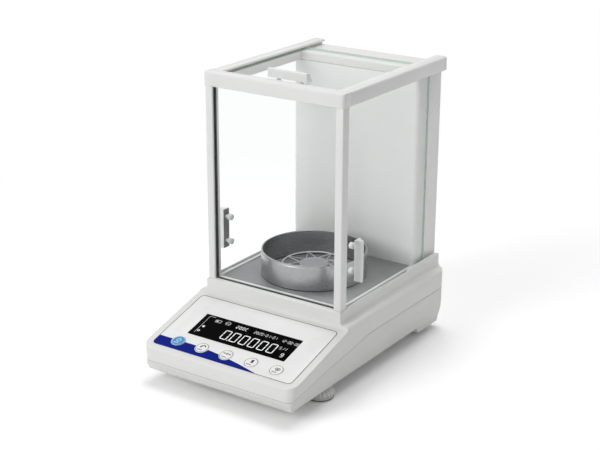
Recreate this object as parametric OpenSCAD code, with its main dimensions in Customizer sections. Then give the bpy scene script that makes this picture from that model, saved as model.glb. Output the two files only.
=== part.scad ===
// Analytical balance: a housing with a sloping console, a glass draft chamber with
// three sliding doors, a grid pan inside a wind ring and two levelling feet.
// X runs to the right, Y to the back and Z up. The origin lies on the table under
// the middle of the housing.

/* [Housing] */
// Width of the housing
base_w = 215; // [205:1:260]
// Length of the housing, front to back
base_len = 344; // [335:1:415]
// Height of the deck above the table
deck_z = 96; // [92:1:112]
// Height of the side shoulders above the table
shoulder_z = 80; // [70:1:86]
// How far each shoulder stands out past the deck
shoulder_w = 11.5; // [9:0.5:16]
// Wall of the housing shells
wall = 2.5; // [2:0.1:3.2]
// Thickness of the deck
deck_t = 6; // [5.5:0.5:8]
// Corner radius of the housing in plan
corner_r = 14; // [8:1:18]
// Gap between the table and the underside
under_gap = 15; // [14:1:20]
// Gap between the table and the rear block
block_gap = 7; // [5:1:9]
// Length of the rear block
block_len = 48; // [40:1:60]
// Visible joint between the two shells
seam_gap = 0.5; // [0.2:0.1:1]
// Height of the joint between the shells at the back
seam_z = 56; // [52:1:60]
// Height of the joint between the shells at the front edge
seam_front_z = 28; // [26:1:32]

/* [Console] */
// Length of the sloping console
console_len = 111.5; // [108:0.5:130]
// Slope of the console in degrees
console_tilt = 15.4; // [12:0.1:18]
// Height of the console where it meets the riser
console_back_z = 76; // [74:1:78]
// Margin between the overlay and the housing's sides
overlay_side = 9; // [7:0.5:14]
// Margin between the overlay and the riser
overlay_back = 6; // [5.5:0.5:9]
// Margin between the overlay and the front edge
overlay_front = 8.2; // [7:0.1:12]
// Thickness of the overlay film
overlay_t = 0.8; // [0.6:0.1:1.2]
// Width of the display
display_w = 137.5; // [110:0.5:150]
// Length of the display along the slope
display_l = 40; // [34:0.5:44]
// From the overlay's back edge to the display
display_inset = 30; // [24:1:34]
// From the middle of the display to the row of keys
key_row = 36.4; // [34:0.1:40]
// Number of keys
key_count = 5; // [5:1:5]
// Pitch of the keys
key_pitch = 34.8; // [24:0.1:36]
// Diameter of a key cap
key_d = 16.4; // [13:0.1:19]
// Gap around a key cap
key_gap = 0.35; // [0.25:0.05:0.6]
// Travel of a key
key_travel = 0.6; // [0.4:0.1:0.8]

/* [Chamber] */
// Height of the front posts
post_h = 238.5; // [200:0.5:290]
// Width of a front post
post_w = 10; // [9:0.5:14]
// Depth of a front post
post_d = 13; // [12:0.5:16]
// Setback of the posts from the riser
post_setback = 2; // [1:0.5:5]
// Setback of the posts from the deck's sides
post_inset = 1; // [0.5:0.5:3]
// Height of the frame on top of the posts
frame_h = 16.5; // [16:0.5:20]
// Width of a top rail
rail_w = 16.5; // [16:0.5:20]
// How far the top frame stands out past the deck
frame_over = 0.5; // [0:0.5:2]
// Thickness of the glass
glass_t = 3; // [2.5:0.5:3.5]
// From the deck's side to the outer face of a side door
glass_inset = 2.4; // [2:0.1:3]
// Running gap around a sliding glass
slide_gap = 0.3; // [0.25:0.05:0.5]
// Depth of the rear column
column_d = 54; // [46:1:66]
// Gap between the rear column and a side door
column_gap = 0.6; // [0.5:0.1:1.5]
// Wall of the rear column
column_wall = 2.5; // [2:0.1:3.5]
// How far a closed side door reaches past the column's front
door_lap = 19; // [12:1:26]

/* [Door handles] */
// Length of a side door's handle
handle_len = 50; // [40:1:70]
// Length of the top door's handle
top_handle_len = 54; // [40:1:70]
// Width of a handle at the glass
handle_base = 11.5; // [9:0.5:14]
// Width of a handle at its tip
handle_tip = 4.4; // [3:0.1:6]
// How far a handle stands off the glass
handle_reach = 10.5; // [8:0.5:11]
// From the front posts to a handle
handle_setback = 16.5; // [12:0.5:24]
// Height of the middle of a side handle above the deck
handle_mid = 53; // [45:1:80]
// Spacing of the two knobs that hold a handle
knob_pitch = 31; // [24:1:36]
// Diameter of a knob
knob_d = 8; // [6:0.5:9]
// Length of a knob
knob_len = 6.4; // [4:0.1:7]

/* [Pan] */
// Diameter of the pan
pan_d = 80; // [60:1:100]
// Height of the pan's top above the deck
pan_z = 12; // [12:0.5:18]
// Diameter of the pan's centre disc
disc_d = 36; // [24:1:40]
// Width of the pan's bars
bar_w = 1.6; // [1.2:0.1:2.4]
// Number of points on the pan's grid
pan_points = 8; // [6:1:12]
// Outer diameter of the wind ring
ring_d = 130; // [110:1:140]
// Height of the wind ring
ring_h = 31; // [24:1:40]
// Wall of the wind ring
ring_wall = 2.2; // [1.5:0.1:3]
// From the middle of the chamber's floor back to the pan
pan_back = -6; // [-10:1:6]

/* [Feet] */
// Diameter of a levelling foot
foot_d = 36; // [28:1:38]
// Travel of a levelling foot
foot_travel = 5; // [3:0.5:6]
// From the housing's side to a foot's axis
foot_side = 20.5; // [19.5:0.5:26]
// From the riser forward to a foot's axis
foot_front = 27.5; // [24:0.5:40]

/* [Hidden] */
$fn = 48;

front_y = -base_len / 2;
back_y = base_len / 2;
riser_y = front_y + console_len;
deck_half = base_w / 2 - shoulder_w;
over = 1; // how far a cutting solid runs past a face

// Housing details
nose_r = 5;
console_fillet_r = 4;
shoulder_r = 5;
shoulder_fillet_r = 4;
deck_edge_r = 2;
front_draft = 6;
block_ramp = 6;
crease_z = 40;
crease_draft = 1.5;
floor_draft = 6.5;
block_back_y = back_y - 7;
block_front_y = block_back_y - block_len;
seam_bend_back = riser_y + 45;
seam_bend_front = riser_y - 55;
seam_bend_z = seam_front_z + 12;
tongue_h = 3;
tongue_t = 1.4;
tongue_gap = 0.15;
tongue_root = 0.4;

// Screw bosses between the shells
boss_r = 4.5;
boss_x = base_w / 2 - 14;
boss_ys = [front_y + 32, riser_y + 40, block_front_y - 17];
boss_split = under_gap + 9;
screw_shank_r = 1.2;
screw_pilot_r = 1.25;
screw_pass_r = 1.7;
screw_head_r = 2.75;
screw_head_h = 2;
screw_seat = 3.5;
screw_bite = 12;

// Console layers, measured along and off the slope
overlay_w = base_w - 2 * overlay_side;
overlay_l = console_len / cos(console_tilt) - overlay_back - overlay_front;
overlay_r = 6;
overlay_pocket = 0.6;
overlay_fit = 0.2;
display_mid = overlay_back + display_inset + display_l / 2;
overlay_mid = display_mid - overlay_back - overlay_l / 2;
window_t = 1.6;
window_proud = 0.1;
window_fit = 0.15;
window_ledge = 3;
board_w = 2 * (boss_x - boss_r) - 1;
board_l = overlay_l - 6;
board_t = 1.6;
board_z = -7.5;
board_post_r = 3;
key_flange = 1.6;
key_flange_t = 1;
key_proud = 0.5;
key_play = 0.15;
plunger_r = 2;
plunger_len = 1.5;
switch_clear = 0.2;

// Frame and glass
post_x0 = deck_half - post_inset - post_w;
post_y0 = riser_y + post_setback;
post_y1 = post_y0 + post_d;
frame_z = deck_z + post_h;
frame_half = deck_half + frame_over;
post_r = 1.5;
slot_d = 4.5;
slot_w = glass_t + 3;
slot_y = post_y0 + 5.5;
front_glass_gap = 1.45;
glass_x1 = deck_half - glass_inset;
glass_x0 = glass_x1 - glass_t;
column_half = glass_x0 - column_gap;
column_y1 = back_y - 1;
column_y0 = column_y1 - column_d;
column_r = 5;
rail_x0 = frame_half - rail_w;
rail_y1 = back_y - 0.5;
top_glass_z0 = frame_z + 10.5;
top_glass_z1 = top_glass_z0 + glass_t;
rail_bite = 3.7;
top_plate_z1 = top_glass_z0 - 0.5;
side_glass_y0 = post_y1 + slide_gap;
side_glass_y1 = column_y0 + door_lap;
track_w = deck_half - (glass_x0 - 2.6);
track_h = 5;
track_drop = 4;
track_floor = 1.2;
track_lip = 1.4;
guide_len = 80;
guide_point = 9;
guide_h = 3.5;
rail_groove_h = 7;
handle_y0 = post_y1 + handle_setback;
handle_z = deck_z + handle_mid;
handle_knob = handle_base / 2;

// Chamber floor
floor_half = deck_half - track_w - 1.5;
floor_t = 1;
floor_drop = 2;
floor_fit = 0.2;
floor_z = deck_z - floor_drop + floor_t;
pan_y = (post_y1 + column_y0) / 2 + pan_back;
collar_r = 8.9;
collar_bore_r = 6;
collar_flange_r = 12;
collar_flange_t = 1.5;
hub_r = 5.6;
hub_bore_r = 2.8;
hub_roof = 1.5;
stem_r = 4;
pin_r = 2.5;
pan_top = deck_z + pan_z;
disc_t = 2;
bar_t = 1.6;
seat_gap = 0.3;
collar_top = floor_z + collar_flange_t;
stem_top = collar_top + 0.5;
hub_z0 = stem_top + seat_gap;
gasket_h = 1;
level_x = -floor_half / 2;
level_y = column_y0 - 16;
level_r = 10;
level_h = 4;
vial_r = 7.4;
vial_seat = 1.6;

// Rear column
cover_t = 2;
cover_fit = 0.3;
land_w = 8;
cover_rows = 3;
cover_screw_r = 2.75;
board_stand = 5;
main_board_w = 120;
main_board_h = 150;
main_board_z = deck_z + 40;

// Weigh cell
cell_z0 = under_gap + wall + 7.5;
cell_t = 8;
cell_half = 35;
cell_y0 = pan_y - 15;
cell_y1 = pan_y + 115;
cell_stand_r = 5;
fixed_half = 16;
fixed_y0 = pan_y + 32;
fixed_y1 = pan_y + 52;
guide_z1 = cell_z0 + 53;
guide_z0 = cell_z0 + 17;
guide_t = 1.2;
lever_half = 5;
lever_z0 = cell_z0 + 31;
lever_z1 = lever_z0 + 6;
lever_window = 5;
carrier_half = 12;
carrier_y0 = pan_y - 5;
carrier_y1 = pan_y + 6;
coil_y = pan_y + 85;
coil_r0 = 8.5;
coil_r1 = 10.5;
coil_h = 10;
gap_r0 = 7.5;
gap_r1 = 12;
pot_r = 18;
pot_h = 20;
sensor_y = pan_y + 104;
vane_t = 1;

// Rear sockets
socket_z = seam_z + 14;
jack_x = 55;
jack_w = 14;
jack_h = 12;
jack_len = 15;
jack_bore_r = 3.2;
jack_pin_r = 1;
port_x = -55;
port_w = 12;
port_h = 11;
socket_fit = 0.2;

// Feet
foot_x = base_w / 2 - foot_side;
foot_y = riser_y - foot_front;
pad_h = 4;
wheel_h = 9;
wheel_top_r = foot_d / 2 - 7;
wheel_gap = 0.1;
pivot_r = 2;
pivot_h = 4;
stud_r = 2.94;
nut_bore_r = 3;
nut_r = 5;
nut_h = 16;
nut_flange_r = 7;
nut_flange_t = 2;
nut_boss_r = 8;
rear_foot_x = base_w / 2 - 27.5;
rear_foot_y = block_back_y - block_len / 2;
rear_foot_r = 12;
rear_foot_spigot_r = 4;

white = [0.9, 0.9, 0.89];
grey = [0.66, 0.66, 0.65];
dark = [0.13, 0.13, 0.14];
steel = [0.6, 0.61, 0.62];
clear_glass = [0.8, 0.92, 0.88, 0.35];

// ---- shared shapes ----

function arc(c, r, a0, a1, n = 6) = [for (i = [0 : n])
    c + r * [cos(a0 + (a1 - a0) * i / n), sin(a0 + (a1 - a0) * i / n)]];

// A closed outline from its right half, listed from the bottom up
function mirrored(half) =
    concat(half, [for (i = [len(half) - 1 : -1 : 0]) [-half[i].x, half[i].y]]);

function panel_z(y) = console_back_z - (riser_y - y) * tan(console_tilt);

module rounded_rect(w, l, r) {
    square([w - 2 * r, l], center = true);
    square([w, l - 2 * r], center = true);
    for (x = [-1, 1], y = [-1, 1])
        translate([x * (w / 2 - r), y * (l / 2 - r)]) circle(r);
}

// Box given by its low and high corners
module span(low, high) {
    translate(low) cube(high - low);
}

// Extrudes an outline drawn in Y and Z across X
module across(x0, x1) {
    rotate([90, 0, 90]) translate([0, 0, x0]) linear_extrude(x1 - x0) children();
}

// Extrudes an outline drawn in X and Z along Y
module along(y0, y1) {
    translate([0, y1, 0]) rotate([90, 0, 0]) linear_extrude(y1 - y0) children();
}

// Left pieces are the mirror image of the right ones
module on_side(side) {
    if (side > 0) children();
    else mirror([1, 0, 0]) children();
}

// Frame on the console: X across, Y up the slope, Z off it
module on_console() {
    translate([0, riser_y - display_mid * cos(console_tilt),
        console_back_z - display_mid * sin(console_tilt)])
        rotate([console_tilt, 0, 0]) children();
}

// ---- housing ----

// Side view of the housing, moved inwards by d
function housing_side(d) = let(
    f = front_y + d, b = back_y - d, rise = riser_y + d,
    top = deck_z - (d > 0 ? deck_t : 0),
    drop = d / cos(console_tilt),
    rn = max(nose_r - d, 0.5),
    nose = [f + rn, panel_z(f + rn) - drop - rn / cos(console_tilt)],
    rf = console_fillet_r,
    fillet = [rise - rf, panel_z(rise - rf) - drop + rf / cos(console_tilt)])
    concat(
        [[f + front_draft, under_gap + d], [f, seam_front_z]],
        arc(nose, rn, 180, 90 + console_tilt),
        arc(fillet, rf, 270 + console_tilt, 360),
        arc([rise + deck_edge_r, top - deck_edge_r], deck_edge_r, 180, 90),
        arc([b - deck_edge_r, top - deck_edge_r], deck_edge_r, 90, 0),
        [[b, crease_z], [block_back_y - d, block_gap + d],
         [block_front_y + d, block_gap + d],
         [block_front_y - block_ramp + d, under_gap + d]]);

// Right half of the front view of the housing, moved inwards by d
function housing_front(d) = let(
    w = base_w / 2 - d, k = deck_half - d, sh = shoulder_z - d,
    top = deck_z - (d > 0 ? deck_t : 0),
    ro = max(shoulder_r - d, 0.5))
    concat(
        [[w - floor_draft - crease_draft, 0], [w - floor_draft, under_gap],
         [w - crease_draft, crease_z], [w, seam_z - 4]],
        arc([w - ro, sh - ro], ro, 0, 90),
        arc([k + shoulder_fillet_r, sh + shoulder_fillet_r], shoulder_fillet_r, 270, 180),
        arc([k - deck_edge_r, top - deck_edge_r], deck_edge_r, 0, 90));

module housing_block(d) {
    intersection() {
        across(-base_w, base_w) polygon(housing_side(d));
        along(-base_len, base_len) polygon(mirrored(housing_front(d)));
        linear_extrude(deck_z + over)
            rounded_rect(base_w - 2 * d, base_len - 2 * d, corner_r - d);
    }
}

function seam_line(dz) = [
    [front_y - over, seam_front_z + dz], [front_y, seam_front_z + dz],
    [seam_bend_front, seam_bend_z + dz], [seam_bend_back, seam_z + dz],
    [back_y + over, seam_z + dz]];

module above_seam(dz) {
    across(-base_w, base_w) polygon(concat(seam_line(dz),
        [[back_y + over, deck_z + over], [front_y - over, deck_z + over]]));
}

module below_seam(dz) {
    across(-base_w, base_w)
        polygon(concat([[front_y - over, 0]], seam_line(dz), [[back_y + over, 0]]));
}

module at_bosses() {
    for (x = [-1, 1], y = boss_ys) translate([x * boss_x, y, 0]) children();
}

module at_board_posts() {
    for (x = [-1, 1], y = [-1, 1])
        translate([x * (board_w / 2 - 6), overlay_mid + y * (board_l / 2 - 6), 0]) children();
}

module at_keys() {
    for (i = [0 : key_count - 1])
        translate([(i - (key_count - 1) / 2) * key_pitch, -key_row, 0]) children();
}

module upper_housing() {
    color(white) difference() {
        union() {
            difference() {
                intersection() { housing_block(0); above_seam(seam_gap / 2); }
                housing_block(wall);
            }
            intersection() {
                housing_block(1);
                at_bosses() translate([0, 0, boss_split + seam_gap])
                    cylinder(h = deck_z, r = boss_r);
            }
            on_console() at_board_posts() translate([0, 0, board_z])
                cylinder(h = -board_z - 1, r = board_post_r);
        }
        at_bosses() translate([0, 0, boss_split])
            cylinder(h = screw_bite, r = screw_pilot_r);
        // Console cut-outs
        on_console() {
            translate([0, overlay_mid, -overlay_pocket]) linear_extrude(4)
                rounded_rect(overlay_w + 2 * overlay_fit, overlay_l + 2 * overlay_fit,
                    overlay_r + overlay_fit);
            translate([0, 0, -window_t]) linear_extrude(4)
                rounded_rect(display_w + 2 * window_fit, display_l + 2 * window_fit, 1.5);
            translate([0, 0, -2 * wall]) linear_extrude(3 * wall)
                rounded_rect(display_w - 2 * window_ledge, display_l - 2 * window_ledge, 1.5);
            at_keys() translate([0, 0, -2 * wall])
                cylinder(h = 3 * wall, r = key_d / 2 + key_gap);
        }
        // Rebates for the door tracks, floor plate pocket and the stem's hole
        for (s = [-1, 1]) on_side(s)
            span([deck_half - track_w, post_y1, deck_z - track_drop],
                 [deck_half + over, back_y + over, deck_z + over]);
        span([-floor_half - floor_fit, post_y1, deck_z - floor_drop],
             [floor_half + floor_fit, column_y0, deck_z + over]);
        translate([0, pan_y, deck_z - 2 * deck_t])
            cylinder(h = 3 * deck_t, r = collar_r + 0.1);
        // Sockets in the back
        span([jack_x - jack_w / 2, back_y - 2 * wall, socket_z - jack_h / 2],
             [jack_x + jack_w / 2, back_y + over, socket_z + jack_h / 2]);
        span([port_x - port_w / 2, back_y - 2 * wall, socket_z - port_h / 2],
             [port_x + port_w / 2, back_y + over, socket_z + port_h / 2]);
    }
}

module lower_housing() {
    color(white) difference() {
        union() {
            difference() {
                intersection() { housing_block(0); below_seam(-seam_gap / 2); }
                housing_block(wall);
            }
            // Tongue that keys the shells together, rooted in the lower wall
            difference() {
                union() {
                    intersection() {
                        housing_block(wall - tongue_root);
                        below_seam(-seam_gap / 2);
                        above_seam(-tongue_h);
                    }
                    intersection() {
                        housing_block(wall + tongue_gap);
                        below_seam(tongue_h);
                        above_seam(-tongue_h);
                    }
                }
                housing_block(wall + tongue_t);
            }
            at_bosses() translate([0, 0, under_gap + 0.5])
                cylinder(h = boss_split - under_gap - 0.5, r = boss_r);
            for (s = [-1, 1]) translate([s * foot_x, foot_y, under_gap + 0.5])
                cylinder(h = nut_h + 0.5, r = nut_boss_r);
            for (x = [-1, 1], y = [cell_y0 + 7, block_front_y - 15])
                translate([x * (cell_half - 7), y, under_gap + 1])
                    cylinder(h = cell_z0 - under_gap - 1, r = cell_stand_r);
        }
        at_bosses() {
            cylinder(h = under_gap + screw_seat, r = screw_head_r + 0.4);
            cylinder(h = boss_split + over, r = screw_pass_r);
        }
        for (s = [-1, 1]) {
            translate([s * foot_x, foot_y, 0]) cylinder(h = 50, r = nut_r + 0.02);
            translate([s * rear_foot_x, rear_foot_y, 0])
                cylinder(h = block_gap + wall + over, r = rear_foot_spigot_r + 0.1);
        }
    }
}

module housing_screws() {
    color(steel) at_bosses() translate([0, 0, under_gap + screw_seat]) {
        difference() {
            translate([0, 0, -screw_head_h]) cylinder(h = screw_head_h, r = screw_head_r);
            for (a = [0, 90]) rotate(a)
                translate([-1.6, -0.35, -screw_head_h - over]) cube([3.2, 0.7, 1 + over]);
        }
        cylinder(h = boss_split - under_gap - screw_seat + screw_bite - 1, r = screw_shank_r);
    }
}

module foot_nuts() {
    color([0.8, 0.68, 0.35]) for (s = [-1, 1])
        translate([s * foot_x, foot_y, under_gap + 1]) difference() {
            union() {
                cylinder(h = nut_h, r = nut_r);
                translate([0, 0, nut_h]) cylinder(h = nut_flange_t, r = nut_flange_r);
            }
            translate([0, 0, -over]) cylinder(h = nut_h + 4, r = nut_bore_r);
        }
}

module rear_feet() {
    color(dark) for (s = [-1, 1]) translate([s * rear_foot_x, rear_foot_y, 0]) {
        cylinder(h = block_gap, r = rear_foot_r);
        translate([0, 0, block_gap]) cylinder(h = wall, r = rear_foot_spigot_r);
    }
}

// ---- console ----

module keypad_overlay() {
    color([0.86, 0.87, 0.88]) on_console() difference() {
        translate([0, overlay_mid, -overlay_pocket]) linear_extrude(overlay_t)
            rounded_rect(overlay_w, overlay_l, overlay_r);
        translate([0, 0, -over]) linear_extrude(3)
            rounded_rect(display_w + 2 * window_fit, display_l + 2 * window_fit, 1.5);
        at_keys() translate([0, 0, -over]) cylinder(h = 3, r = key_d / 2 + key_gap);
    }
}

module display_window() {
    color(dark) on_console() translate([0, 0, -window_t])
        linear_extrude(window_t + overlay_t - overlay_pocket + window_proud)
            rounded_rect(display_w, display_l, 1.5);
}

module display_module() {
    low = board_z + board_t;
    color([0.2, 0.3, 0.25]) on_console() difference() {
        span([-display_w / 2 - 1, -display_l / 2 + 1, low],
             [display_w / 2 + 1, display_l / 2 - 1, -wall - 0.2]);
        span([-display_w / 2 + 4, -display_l / 2 + 5, -wall - 1],
             [display_w / 2 - 4, display_l / 2 - 5, 0]);
    }
}

module key_board() {
    color([0.1, 0.4, 0.2]) on_console()
        translate([-board_w / 2, overlay_mid - board_l / 2, board_z - board_t])
            cube([board_w, board_l, board_t]);
}

module key_switches() {
    top = -wall - key_play - key_flange_t - plunger_len - key_travel - switch_clear;
    color(dark) on_console() at_keys() {
        span([-3, -3, board_z], [3, 3, top - 0.4]);
        translate([0, 0, top - 0.4]) cylinder(h = 0.4, r = 1.6);
    }
}

// One key cap with its flange and plunger, i = 0 at the left
module key_cap(i) {
    flange_top = -wall - key_play;
    on_console() translate([(i - (key_count - 1) / 2) * key_pitch, -key_row, 0]) {
        translate([0, 0, flange_top])
            cylinder(h = key_proud + overlay_t - overlay_pocket - flange_top, r = key_d / 2);
        translate([0, 0, flange_top - key_flange_t])
            cylinder(h = key_flange_t, r = key_d / 2 + key_flange);
        translate([0, 0, flange_top - key_flange_t - plunger_len])
            cylinder(h = plunger_len, r = plunger_r);
    }
}

// ---- chamber floor ----

module floor_plate() {
    color(steel) difference() {
        span([-floor_half, post_y1 + floor_fit, floor_z - floor_t],
             [floor_half, column_y0 - floor_fit, floor_z]);
        translate([0, pan_y, floor_z - 5]) cylinder(h = 10, r = collar_r + 0.1);
    }
}

module draft_collar() {
    color(steel) translate([0, pan_y, 0]) difference() {
        union() {
            translate([0, 0, deck_z - deck_t])
                cylinder(h = floor_z - deck_z + deck_t, r = collar_r);
            translate([0, 0, floor_z]) cylinder(h = collar_flange_t, r = collar_flange_r);
        }
        translate([0, 0, deck_z - deck_t - over]) cylinder(h = 30, r = collar_bore_r);
    }
}

module level_body() {
    color(dark) translate([level_x, level_y, floor_z]) difference() {
        cylinder(h = level_h, r = level_r);
        translate([0, 0, vial_seat]) cylinder(h = level_h, r = vial_r + 0.1);
    }
}

module level_vial() {
    color([0.7, 0.85, 0.3]) translate([level_x, level_y, floor_z + vial_seat])
        cylinder(h = level_h - vial_seat + 0.2, r = vial_r);
}

// ---- frame and fixed glass ----

module front_post(side) {
    on_side(side) difference() {
        translate([post_x0 + post_w / 2, (post_y0 + post_y1) / 2, deck_z])
            linear_extrude(post_h) rounded_rect(post_w, post_d, post_r);
        span([post_x0 - over, slot_y - slot_w / 2, deck_z - over],
             [post_x0 + slot_d, slot_y + slot_w / 2, frame_z + over]);
    }
}

module front_beam() {
    y1 = post_y1 - riser_y;
    color(white) difference() {
        intersection() {
            translate([0, riser_y, frame_z]) across(-frame_half, frame_half) polygon(concat(
                [[0, 0.8], [0.8, 0], [y1, 0], [y1, frame_h]],
                arc([4, frame_h - 4], 4, 90, 180)));
            translate([0, (riser_y + post_y1) / 2 + 5, frame_z])
                linear_extrude(frame_h) rounded_rect(2 * frame_half, y1 + 10, 5);
        }
        span([-post_x0 - slot_d, slot_y - slot_w / 2, frame_z - over],
             [post_x0 + slot_d, slot_y + slot_w / 2, frame_z + 3]);
    }
}

module front_glass() {
    half = post_x0 + slot_d - front_glass_gap;
    color(clear_glass) span([-half, slot_y - glass_t / 2, deck_z + 0.5],
        [half, slot_y + glass_t / 2, frame_z + 2]);
}

module front_glass_seals() {
    half = post_x0 + slot_d - front_glass_gap;
    color(dark) {
        for (s = [-1, 1]) on_side(s) difference() {
            span([post_x0 + 0.1, slot_y - slot_w / 2 + 0.1, deck_z],
                 [post_x0 + slot_d - 0.1, slot_y + slot_w / 2 - 0.1, frame_z]);
            span([post_x0 - over, slot_y - glass_t / 2, deck_z - over],
                 [half, slot_y + glass_t / 2, frame_z + over]);
        }
        span([-post_x0, slot_y - glass_t / 2 - 0.5, deck_z],
             [post_x0, slot_y + glass_t / 2 + 0.5, deck_z + 0.5]);
    }
}

module door_track(side) {
    x0 = deck_half - track_w;
    z0 = deck_z - track_drop;
    groove = [glass_x0 - slide_gap, glass_x1 + slide_gap];
    on_side(side) {
        difference() {
            span([x0, post_y1, z0], [deck_half, rail_y1, z0 + track_h]);
            span([groove[0], post_y1 - over, z0 + track_floor],
                 [groove[1], rail_y1 + over, z0 + track_h + over]);
            span([x0 - over, post_y1 - over, deck_z], [groove[0] + over, rail_y1 + over,
                z0 + track_h + over]);
        }
        // Raised guide beside the rear column, with a pointed back end
        intersection() {
            span([groove[1] + 0.2, rail_y1 - guide_len, deck_z],
                 [deck_half + frame_over, rail_y1, deck_z + guide_h]);
            across(0, base_w) polygon([
                [rail_y1 - guide_len, deck_z], [rail_y1 - guide_len + 3, deck_z + guide_h],
                [rail_y1 - guide_point, deck_z + guide_h], [rail_y1, deck_z]]);
        }
    }
}

// Top rail: a hollow for the side door below and a slot for the top door inside
module top_rail(side) {
    x0 = rail_x0;
    x1 = frame_half;
    z1 = frame_z + frame_h;
    on_side(side) along(post_y1, rail_y1) polygon(concat(
        [[x0, frame_z], [glass_x0 - slide_gap, frame_z],
         [glass_x0 - slide_gap, frame_z + rail_groove_h],
         [glass_x1 + slide_gap, frame_z + rail_groove_h],
         [glass_x1 + slide_gap, frame_z], [x1, frame_z]],
        arc([x1 - 3, z1 - 3], 3, 0, 90),
        [[x1 - 5.4, z1], [x1 - 5.8, z1 - 1.2], [x1 - 6.2, z1]],
        arc([x0 + 2, z1 - 2], 2, 90, 180, 4),
        [[x0, top_glass_z1 + slide_gap],
         [x0 + rail_bite + slide_gap, top_glass_z1 + slide_gap],
         [x0 + rail_bite + slide_gap, top_glass_z0 - slide_gap],
         [x0, top_glass_z0 - slide_gap]]));
}

// ---- rear column ----

module rear_column() {
    w = 2 * column_half;
    color(white) difference() {
        union() {
            difference() {
                translate([0, column_y0 + column_d / 2, deck_z]) linear_extrude(post_h)
                    union() {
                        rounded_rect(w, column_d, column_r);
                        translate([-w / 2, 0]) square([w, column_d / 2]);
                    }
                span([-w / 2 + column_wall, column_y0 + column_wall, deck_z - over],
                     [w / 2 - column_wall, column_y1 + over, frame_z + over]);
            }
            for (s = [-1, 1]) on_side(s)
                span([w / 2 - column_wall - land_w, column_y1 - cover_t - land_w, deck_z],
                     [w / 2 - column_wall + 0.5, column_y1 - cover_t, frame_z]);
            at_main_board() rotate([-90, 0, 0]) cylinder(h = board_stand + 1, r = 3);
        }
        at_cover_screws() rotate([90, 0, 0]) cylinder(h = land_w, r = screw_pilot_r);
    }
}

module at_main_board() {
    for (x = [-1, 1], z = [-1, 1])
        translate([x * (main_board_w / 2 - 6), column_y0 + column_wall - 1,
            main_board_z + main_board_h / 2 + z * (main_board_h / 2 - 6)]) children();
}

// Screw axes of the rear cover, starting at the cover's inner face
module at_cover_screws() {
    inset = 12;
    for (x = [-1, 1], i = [0 : cover_rows - 1])
        translate([x * (column_half - column_wall - land_w / 2), column_y1 - cover_t,
            deck_z + inset + i * (post_h - 2 * inset) / (cover_rows - 1)]) children();
}

module rear_cover() {
    half = column_half - column_wall - cover_fit;
    color(white) difference() {
        span([-half, column_y1 - cover_t, deck_z + cover_fit],
             [half, column_y1, frame_z - cover_fit]);
        at_cover_screws() rotate([-90, 0, 0]) translate([0, 0, -over])
            cylinder(h = cover_t + 2 * over, r = screw_pass_r);
        for (i = [0 : 6]) span([-30, column_y1 - cover_t - over, deck_z + 40 + 7 * i],
            [30, column_y1 + over, deck_z + 42.5 + 7 * i]);
    }
}

module rear_cover_screws() {
    color(steel) at_cover_screws() {
        rotate([90, 0, 0]) translate([0, 0, -cover_t])
            cylinder(h = land_w + cover_t - 2, r = screw_shank_r);
        translate([0, cover_t, 0]) rotate([-90, 0, 0]) difference() {
            cylinder(h = 0.8, r = cover_screw_r);
            translate([-1.8, -0.35, 0.4]) cube([3.6, 0.7, over]);
        }
    }
}

module rear_top_plate() {
    color(white) span([-rail_x0 + 0.1, column_y0, frame_z + 0.5],
        [rail_x0 - 0.1, column_y1, top_plate_z1]);
}

// ---- weigh cell, under the deck ----

module cell_base() {
    color(grey) difference() {
        union() {
            span([-cell_half, cell_y0, cell_z0], [cell_half, cell_y1, cell_z0 + cell_t]);
            span([-fixed_half, fixed_y0, cell_z0 + cell_t - 1],
                 [fixed_half, fixed_y1, guide_z1]);
        }
        span([-lever_half - 1.5, fixed_y0 - over, lever_z0 - lever_window],
             [lever_half + 1.5, fixed_y1 + over, lever_z1 + lever_window]);
    }
}

module cell_guides() {
    color(steel) {
        difference() {
            span([-fixed_half + 2, carrier_y0, guide_z1],
                 [fixed_half - 2, fixed_y1 - 2, guide_z1 + guide_t]);
            translate([0, pan_y, guide_z1 - over]) cylinder(h = 4, r = stem_r + 0.4);
        }
        span([-fixed_half + 2, carrier_y0, guide_z0 - guide_t],
             [fixed_half - 2, fixed_y0, guide_z0]);
    }
}

module load_stem() {
    color(steel) {
        span([-carrier_half, carrier_y0, guide_z0], [carrier_half, carrier_y1, guide_z1]);
        translate([0, pan_y, guide_z1 - 1]) cylinder(h = stem_top - guide_z1 + 1, r = stem_r);
        translate([0, pan_y, stem_top])
            cylinder(h = pan_top - hub_roof - seat_gap - stem_top, r = pin_r);
    }
}

module cell_lever() {
    pivot_y = (fixed_y0 + fixed_y1) / 2;
    color([0.75, 0.76, 0.78]) {
        span([-lever_half, carrier_y1 + 1, lever_z0], [lever_half, coil_y, lever_z1]);
        // Coupling strip to the load carrier and pivot strip to the fixed block
        span([-4, carrier_y1, lever_z0 - 8], [4, carrier_y1 + 1.2, lever_z0 + 3]);
        span([-4, pivot_y - 0.5, lever_z1 - 1], [4, pivot_y + 0.5, lever_z1 + lever_window]);
        translate([0, coil_y, lever_z0]) cylinder(h = 3, r = coil_r1 + 1);
        span([-2, coil_y, lever_z0 + 1], [2, sensor_y + 4, lever_z0 + 1 + vane_t]);
    }
}

module force_coil() {
    color([0.75, 0.42, 0.2]) translate([0, coil_y, lever_z0 - coil_h]) difference() {
        cylinder(h = coil_h, r = coil_r1);
        translate([0, 0, -over]) cylinder(h = coil_h + 2 * over, r = coil_r0);
    }
}

module magnet_pot() {
    color(grey) translate([0, coil_y, cell_z0 + cell_t]) difference() {
        cylinder(h = pot_h, r = pot_r);
        translate([0, 0, 5]) difference() {
            cylinder(h = pot_h, r = gap_r1);
            translate([0, 0, -over]) cylinder(h = pot_h + 2 * over, r = gap_r0);
        }
    }
}

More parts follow.
